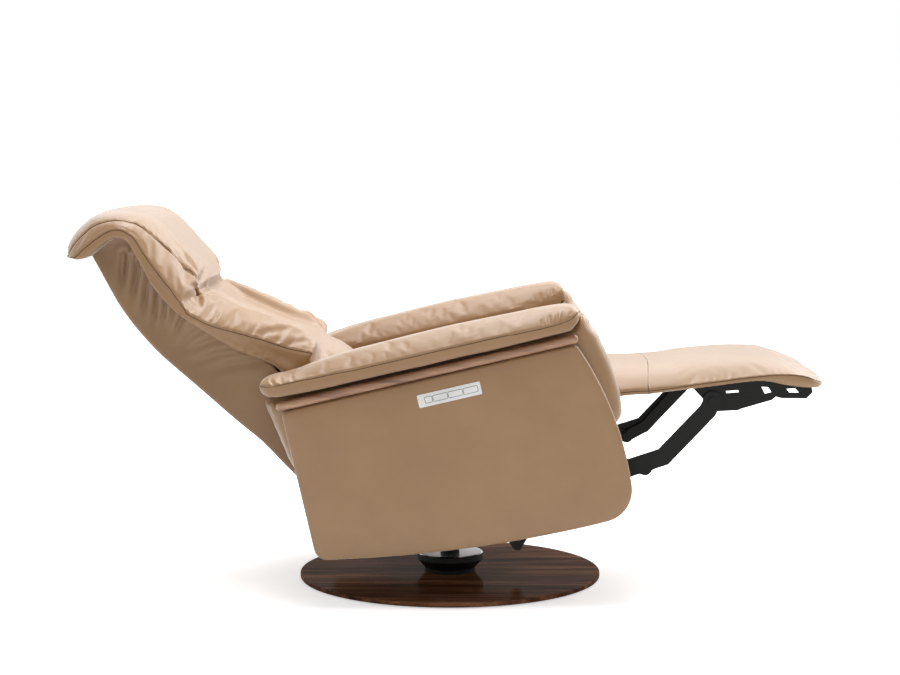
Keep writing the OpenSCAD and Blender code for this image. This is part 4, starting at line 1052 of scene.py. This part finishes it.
def tucked(co):
    """Where the skin of the back cushion lies behind its seam, and under it at the curl."""
    seam = np.array([(r[0], r[1]) for r in ROWS]) / MM
    side, curl = seam[: CURL_ROW + 1], seam[: CURL_ROW - 1 : -1]
    x, z = co[:, 0], co[:, 2]
    below_curl = z < side[-1, 1]
    behind = below_curl & (x < np.interp(z, side[:, 1], side[:, 0]) - 0.003)
    return behind | (~below_curl & (x < curl[-1, 0]) & (z < np.interp(x, curl[:, 0], curl[:, 1]) - 0.003))


def front_cushion():
    rows = spline(np.array([half_section(r) for r in ROWS]), 190)
    rows = np.array([spline(r, 84) for r in rows])
    rings = np.concatenate([rows, rows[:, ::-1][:, 1:-1] * [1, -1, 1]], axis=1)
    ob = tube_mesh("back_and_head_leather", rings / MM)
    remesh(ob, 0.006)
    edge = spline(np.array([(r[0], r[6] - 0.5, r[1]) for r in ROWS[FIRST_SEAM_ROW:]], float), 110) / MM
    edges = {side: mirrored(edge, side) for side in WORD}
    co = coords(ob)
    puff(ob, pin_near(co, edges.values(), 0.008, tucked(co)), spare=0.010, start=0.005, cap=0.009)
    subdivide(ob)
    for k, line in enumerate(edges.values()):
        groove(ob, line, 0.0026, 0.0032, 0.0010, 0.010, 0.019, 3 + k, (1, 0, 0.2))
    inner_seams = {side: inner_seam(side) for side in WORD}
    for k, (side, line) in enumerate(inner_seams.items()):
        groove(ob, line, 0.0034, 0.0040, 0.0016, 0.010, 0.019, 17 + k)
        dimple(ob, np.array([46, -side * TUFT[0], TUFT[1]]) / MM, 0.013, 0.009)
    creases(ob, FOLDS, YZ, (1, 0, 0.25))
    creases(ob, WING_FOLDS + WING_EDGES, YZ, (1, 0, 0.25))
    creases(ob, copied(FOLDS[:FOLDS_ON_BOTH], 0.8, (0, 4), flip=-1), YZ, (1, 0, 0.25))
    push(ob, 0.0010 * field(coords(ob), 0.11, 31) + 0.0004 * field(coords(ob), 0.05, 32))
    set_coords(ob, on_back(coords(ob) * MM))
    finish_leather(ob, None, ["back_cushion", "head_cushion"])
    split_blend(ob)
    for side, word in WORD.items():
        split_blend(seam_cord("back_seam_" + word, on_back(edges[side] * MM), ob))
        split_blend(seam_cord("headrest_seam_" + word, on_back(inner_seams[side] * MM), ob, 0.0006))


REAR_EDGE = [(-60, -38), (-70, 20), (-71, 64), (-71, 145), (-76, 221), (-80, 280), (-85, 345), (-88, 400),
             (-88, 438), (-84, 500), (-74, 556), (-64, 594), (-53, 634), (-44, 664), (-41, 674)]
FRONT_EDGE = [(8, -38), (32, 10), (38, 64), (42, 110), (50, 180), (58, 246), (46, 282), (32, 322), (16, 394),
              (10, 432), (5, 470), (10, 532), (31, 604), (40, 634), (32, 658), (6, 668)]
# Drape folds of the right side, as (x, z) points in mm with their depth and width, deepest at the first point
DRAPES = [
    ([(8, 618), (-14, 600), (-36, 584), (-62, 566)], 8.1, 9),
    ([(24, 594), (0, 576), (-30, 556), (-64, 532)], 10.1, 9),
    ([(20, 560), (-8, 540), (-40, 515), (-66, 492)], 9.5, 8),
    ([(12, 528), (-12, 508), (-40, 488), (-66, 468)], 8.8, 7),
    ([(8, 498), (-14, 482), (-40, 464), (-62, 450)], 7.4, 6),
    ([(8, 474), (-14, 462), (-42, 448), (-62, 438)], 6.1, 6),
    ([(12, 446), (-10, 442), (-36, 434), (-60, 426)], 5.4, 7),
    ([(20, 398), (-8, 402), (-44, 408), (-70, 412)], 4.7, 9),
    ([(32, 350), (0, 372), (-40, 390), (-74, 402)], 4.7, 9),
    ([(46, 306), (4, 334), (-40, 358), (-74, 372)], 4.1, 10),
    ([(54, 262), (10, 298), (-40, 330), (-72, 344)], 3.4, 10),
]
COVER_TURN, COVER_DEPTH = 6, 7  # radius of its rear edges, and how far in its closed inside lies


def back_cover():
    """Leather over the rear and sides of the back and headrest, closed under the curl."""
    n_up, n_side, n_rear = 150, 34, 40
    rear, front = along(REAR_EDGE, n_up), along(FRONT_EDGE, n_up)
    half_rear = 232 + 4 * smoothstep(rear[:, 1], 250, 420)
    half_front = 236 + 19 * smoothstep(front[:, 1], 262, 400)
    v = np.linspace(1, 0, n_side)
    quarter = np.linspace(0, math.pi / 2, 5)[1:]
    turn = COVER_TURN * (1 - np.array([np.sin(quarter), np.cos(quarter)]))
    t = np.linspace(1, -1, n_rear + 1)[1:-1]
    rings = []
    for i in range(n_up):
        edge = front[i] * v[:, None] + (rear[i] + [COVER_TURN, 0]) * (1 - v[:, None])
        bow = -9 * np.sin(math.pi * v) * smoothstep(i / n_up, 0.35, 0.6)
        flank = np.stack([edge[:, 0], half_front[i] * v + half_rear[i] * (1 - v) + bow, edge[:, 1]], -1)
        x, z = rear[i]
        bend = np.stack([x + turn[0], half_rear[i] - turn[1], np.full(4, z)], -1)
        panel = np.stack([x - 3 * (1 - t**4), (half_rear[i] - COVER_TURN) * t, np.full(len(t), z)], -1)
        outer = np.vstack([flank, bend, panel, bend[::-1] * [1, -1, 1], flank[::-1] * [1, -1, 1]])
        y = outer[:, 1]
        depth = np.where(np.abs(y) < half_rear[i] - 3, COVER_DEPTH, 3.0)
        inner = outer + np.stack([depth, -np.sign(y) * np.minimum(COVER_DEPTH, np.abs(y)), 0 * depth], -1)
        rings.append(np.vstack([outer, inner[::-1]]))
    ob = tube_mesh("back_cover_leather", np.array(rings) / MM)
    subdivide(ob)
    creases(ob, DRAPES, XZ, (0, -1, 0))
    creases(ob, copied(DRAPES, 0.85, (0, 5)), XZ, (0, 1, 0))
    push(ob, 0.0016 * field(coords(ob), 0.10, 21) + 0.0006 * field(coords(ob), 0.045, 22))
    set_coords(ob, on_back(coords(ob) * MM))
    # Its darker leather is painted shade of the recess under the cushion's edge.
    finish_leather(ob, None, ["back_shell", "head_shell"], LEATHER_PAINTED_SHADE)
    split_blend(ob)


# --- Controls ---


PLATE_FACE = -353
OUTLINE_GAP, OUTLINE_CORNER, OUTLINE_POINTS = 0.4, 2, 60


def button_gap_shades():
    """Thin dark tubes on the plate round the buttons, just outside their edges: painted shade of the gaps
    between buttons and plate.
    """
    for k in range(1, 5):
        ob = NODES[f"button_{k}"]
        turn = np.array(ob.matrix_world.to_3x3()).T
        co = coords(ob) @ turn + np.array(ob.matrix_world.translation) - TILT_AXIS
        c, s = math.cos(LIE), math.sin(LIE)
        flat = np.stack([co[:, 0] * c + co[:, 2] * s, co[:, 1], co[:, 2] * c - co[:, 0] * s], -1)
        flat = (flat + TILT_AXIS) * MM
        (x0, _, z0), (x1, _, z1) = flat.min(0) - OUTLINE_GAP, flat.max(0) + OUTLINE_GAP
        corners = ((x0, z0), (x1, z0), (x1, z1), (x0, z1))
        loop = even_loop(rounded([(x, z, OUTLINE_CORNER) for x, z in corners]), OUTLINE_POINTS)
        line = np.stack([loop[:, 0], np.full(OUTLINE_POINTS, PLATE_FACE), loop[:, 1]], -1)
        rim = seam_cord(f"button_outline_{k}", on_seat(np.vstack([line, line[:2]])), radius=0.0007)
        rim.data.materials.clear()
        rim.data.materials.append(BUTTON_GAP_SHADE)
        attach(rim, "seat")


# --- Studio ---


LENS, SENSOR = 83.4, 36.0
EYE, LOOKING_DOWN = (0.0, -4.54, 0.984), 5.74


def linked(name, data, place):
    ob = bpy.data.objects.new(name, data)
    bpy.context.scene.collection.objects.link(ob)
    ob.location = place
    return ob


def camera():
    data = bpy.data.cameras.new("camera")
    data.lens, data.sensor_width = LENS, SENSOR
    ob = linked("camera", data, EYE)
    ob.rotation_euler = (math.radians(90 - LOOKING_DOWN), 0, 0)
    bpy.context.scene.camera = ob


def softbox(name, place, target, size, power):
    data = bpy.data.lights.new(name, "AREA")
    data.shape = "RECTANGLE"
    data.size, data.size_y = size
    data.energy = power
    ob = linked(name, data, place)
    ob.visible_camera = False
    ob.rotation_euler = (Vector(target) - Vector(place)).to_track_quat("-Z", "Y").to_euler()


def seen_straight(tree):
    """A socket that is 1 for what the camera sees straight, in gloss or through glass, and 0 for light."""
    path = tree.nodes.new("ShaderNodeLightPath")
    value = path.outputs["Is Camera Ray"]
    for ray in ("Is Glossy Ray", "Is Transmission Ray"):
        either = tree.nodes.new("ShaderNodeMath")
        either.operation = "MAXIMUM"
        tree.links.new(value, either.inputs[0])
        tree.links.new(path.outputs[ray], either.inputs[1])
        value = either.outputs[0]
    return value


def floor():
    """Pale disc whose colour glows white towards the distance, and keeps the object's shadow."""
    n = 96
    radii = [0.5, 1, 2, 4, 8, 16, 32]
    turns = [2 * math.pi * k / n for k in range(n)]
    verts = [(0, 0, 0)] + [(r * math.cos(a), r * math.sin(a), 0) for r in radii for a in turns]
    faces = [(0, 1 + k, 1 + (k + 1) % n) for k in range(n)]
    for i in range(len(radii) - 1):
        a, b = 1 + i * n, 1 + (i + 1) * n
        faces += [(a + k, b + k, b + (k + 1) % n, a + (k + 1) % n) for k in range(n)]
    ob = mesh_object("studio_floor", verts, faces)
    mat = Nodes("studio_floor")
    mat.set(Base_Color=(0.86, 0.86, 0.86, 1), Roughness=0.9, Specular_IOR_Level=0.0,
            Emission_Color=(1, 1, 1, 1))
    far = mat.add("ShaderNodeVectorMath", operation="LENGTH")
    mat.link(mat.place, far.inputs[0])
    grow = mat.add("ShaderNodeMapRange", interpolation_type="SMOOTHSTEP", From_Min=0.26, From_Max=1.0,
                   To_Min=0.5, To_Max=1.0)
    mat.link(far.outputs["Value"], grow.inputs["Value"])
    glow = mat.add("ShaderNodeMath", operation="MULTIPLY")
    mat.link(grow.outputs["Result"], glow.inputs[0])
    mat.link(seen_straight(mat.tree), glow.inputs[1])
    mat.feed("Emission Strength", glow.outputs[0])
    ob.data.materials.append(mat.mat)


def world():
    """White where it is seen, and dimmer as light on the object."""
    w = bpy.data.worlds.new("studio")
    bpy.context.scene.world = w
    w.use_nodes = True
    t = w.node_tree
    back = t.nodes["Background"]
    back.inputs["Color"].default_value = (1, 1, 1, 1)
    strength = t.nodes.new("ShaderNodeMapRange")
    strength.inputs["To Min"].default_value = 0.33
    strength.inputs["To Max"].default_value = 1.0
    t.links.new(seen_straight(t), strength.inputs["Value"])
    t.links.new(strength.outputs["Result"], back.inputs["Strength"])


def lights():
    softbox("back_light", (0.0, 3.2, 2.6), (0, 0, 0.5), (6.0, 2.0), 62)
    softbox("key_light", (2.6, 1.7, 2.8), (0, 0, 0.5), (3.0, 3.0), 104)
    softbox("top_light", (-0.2, 0.0, 3.0), (0, 0, 0.4), (3.0, 1.2), 68)
    softbox("left_light", (-3.0, -1.2, 2.0), (-0.2, 0, 0.5), (1.6, 1.8), 10)
    softbox("front_fill", (0.9, -3.6, 1.6), (0, 0, 0.4), (2.2, 1.6), 6)


bpy.context.scene.view_settings.view_transform = "Standard"
camera()
world()
floor()
lights()
dress_cad_nodes()
for which in WORD:
    side_panel(which)
    arm_core(which)
    arm_pad(which)
    arm_trim(which)
seat_cushion()
seat_flap()
foot_cushion()
front_cushion()
back_cover()
button_gap_shades()
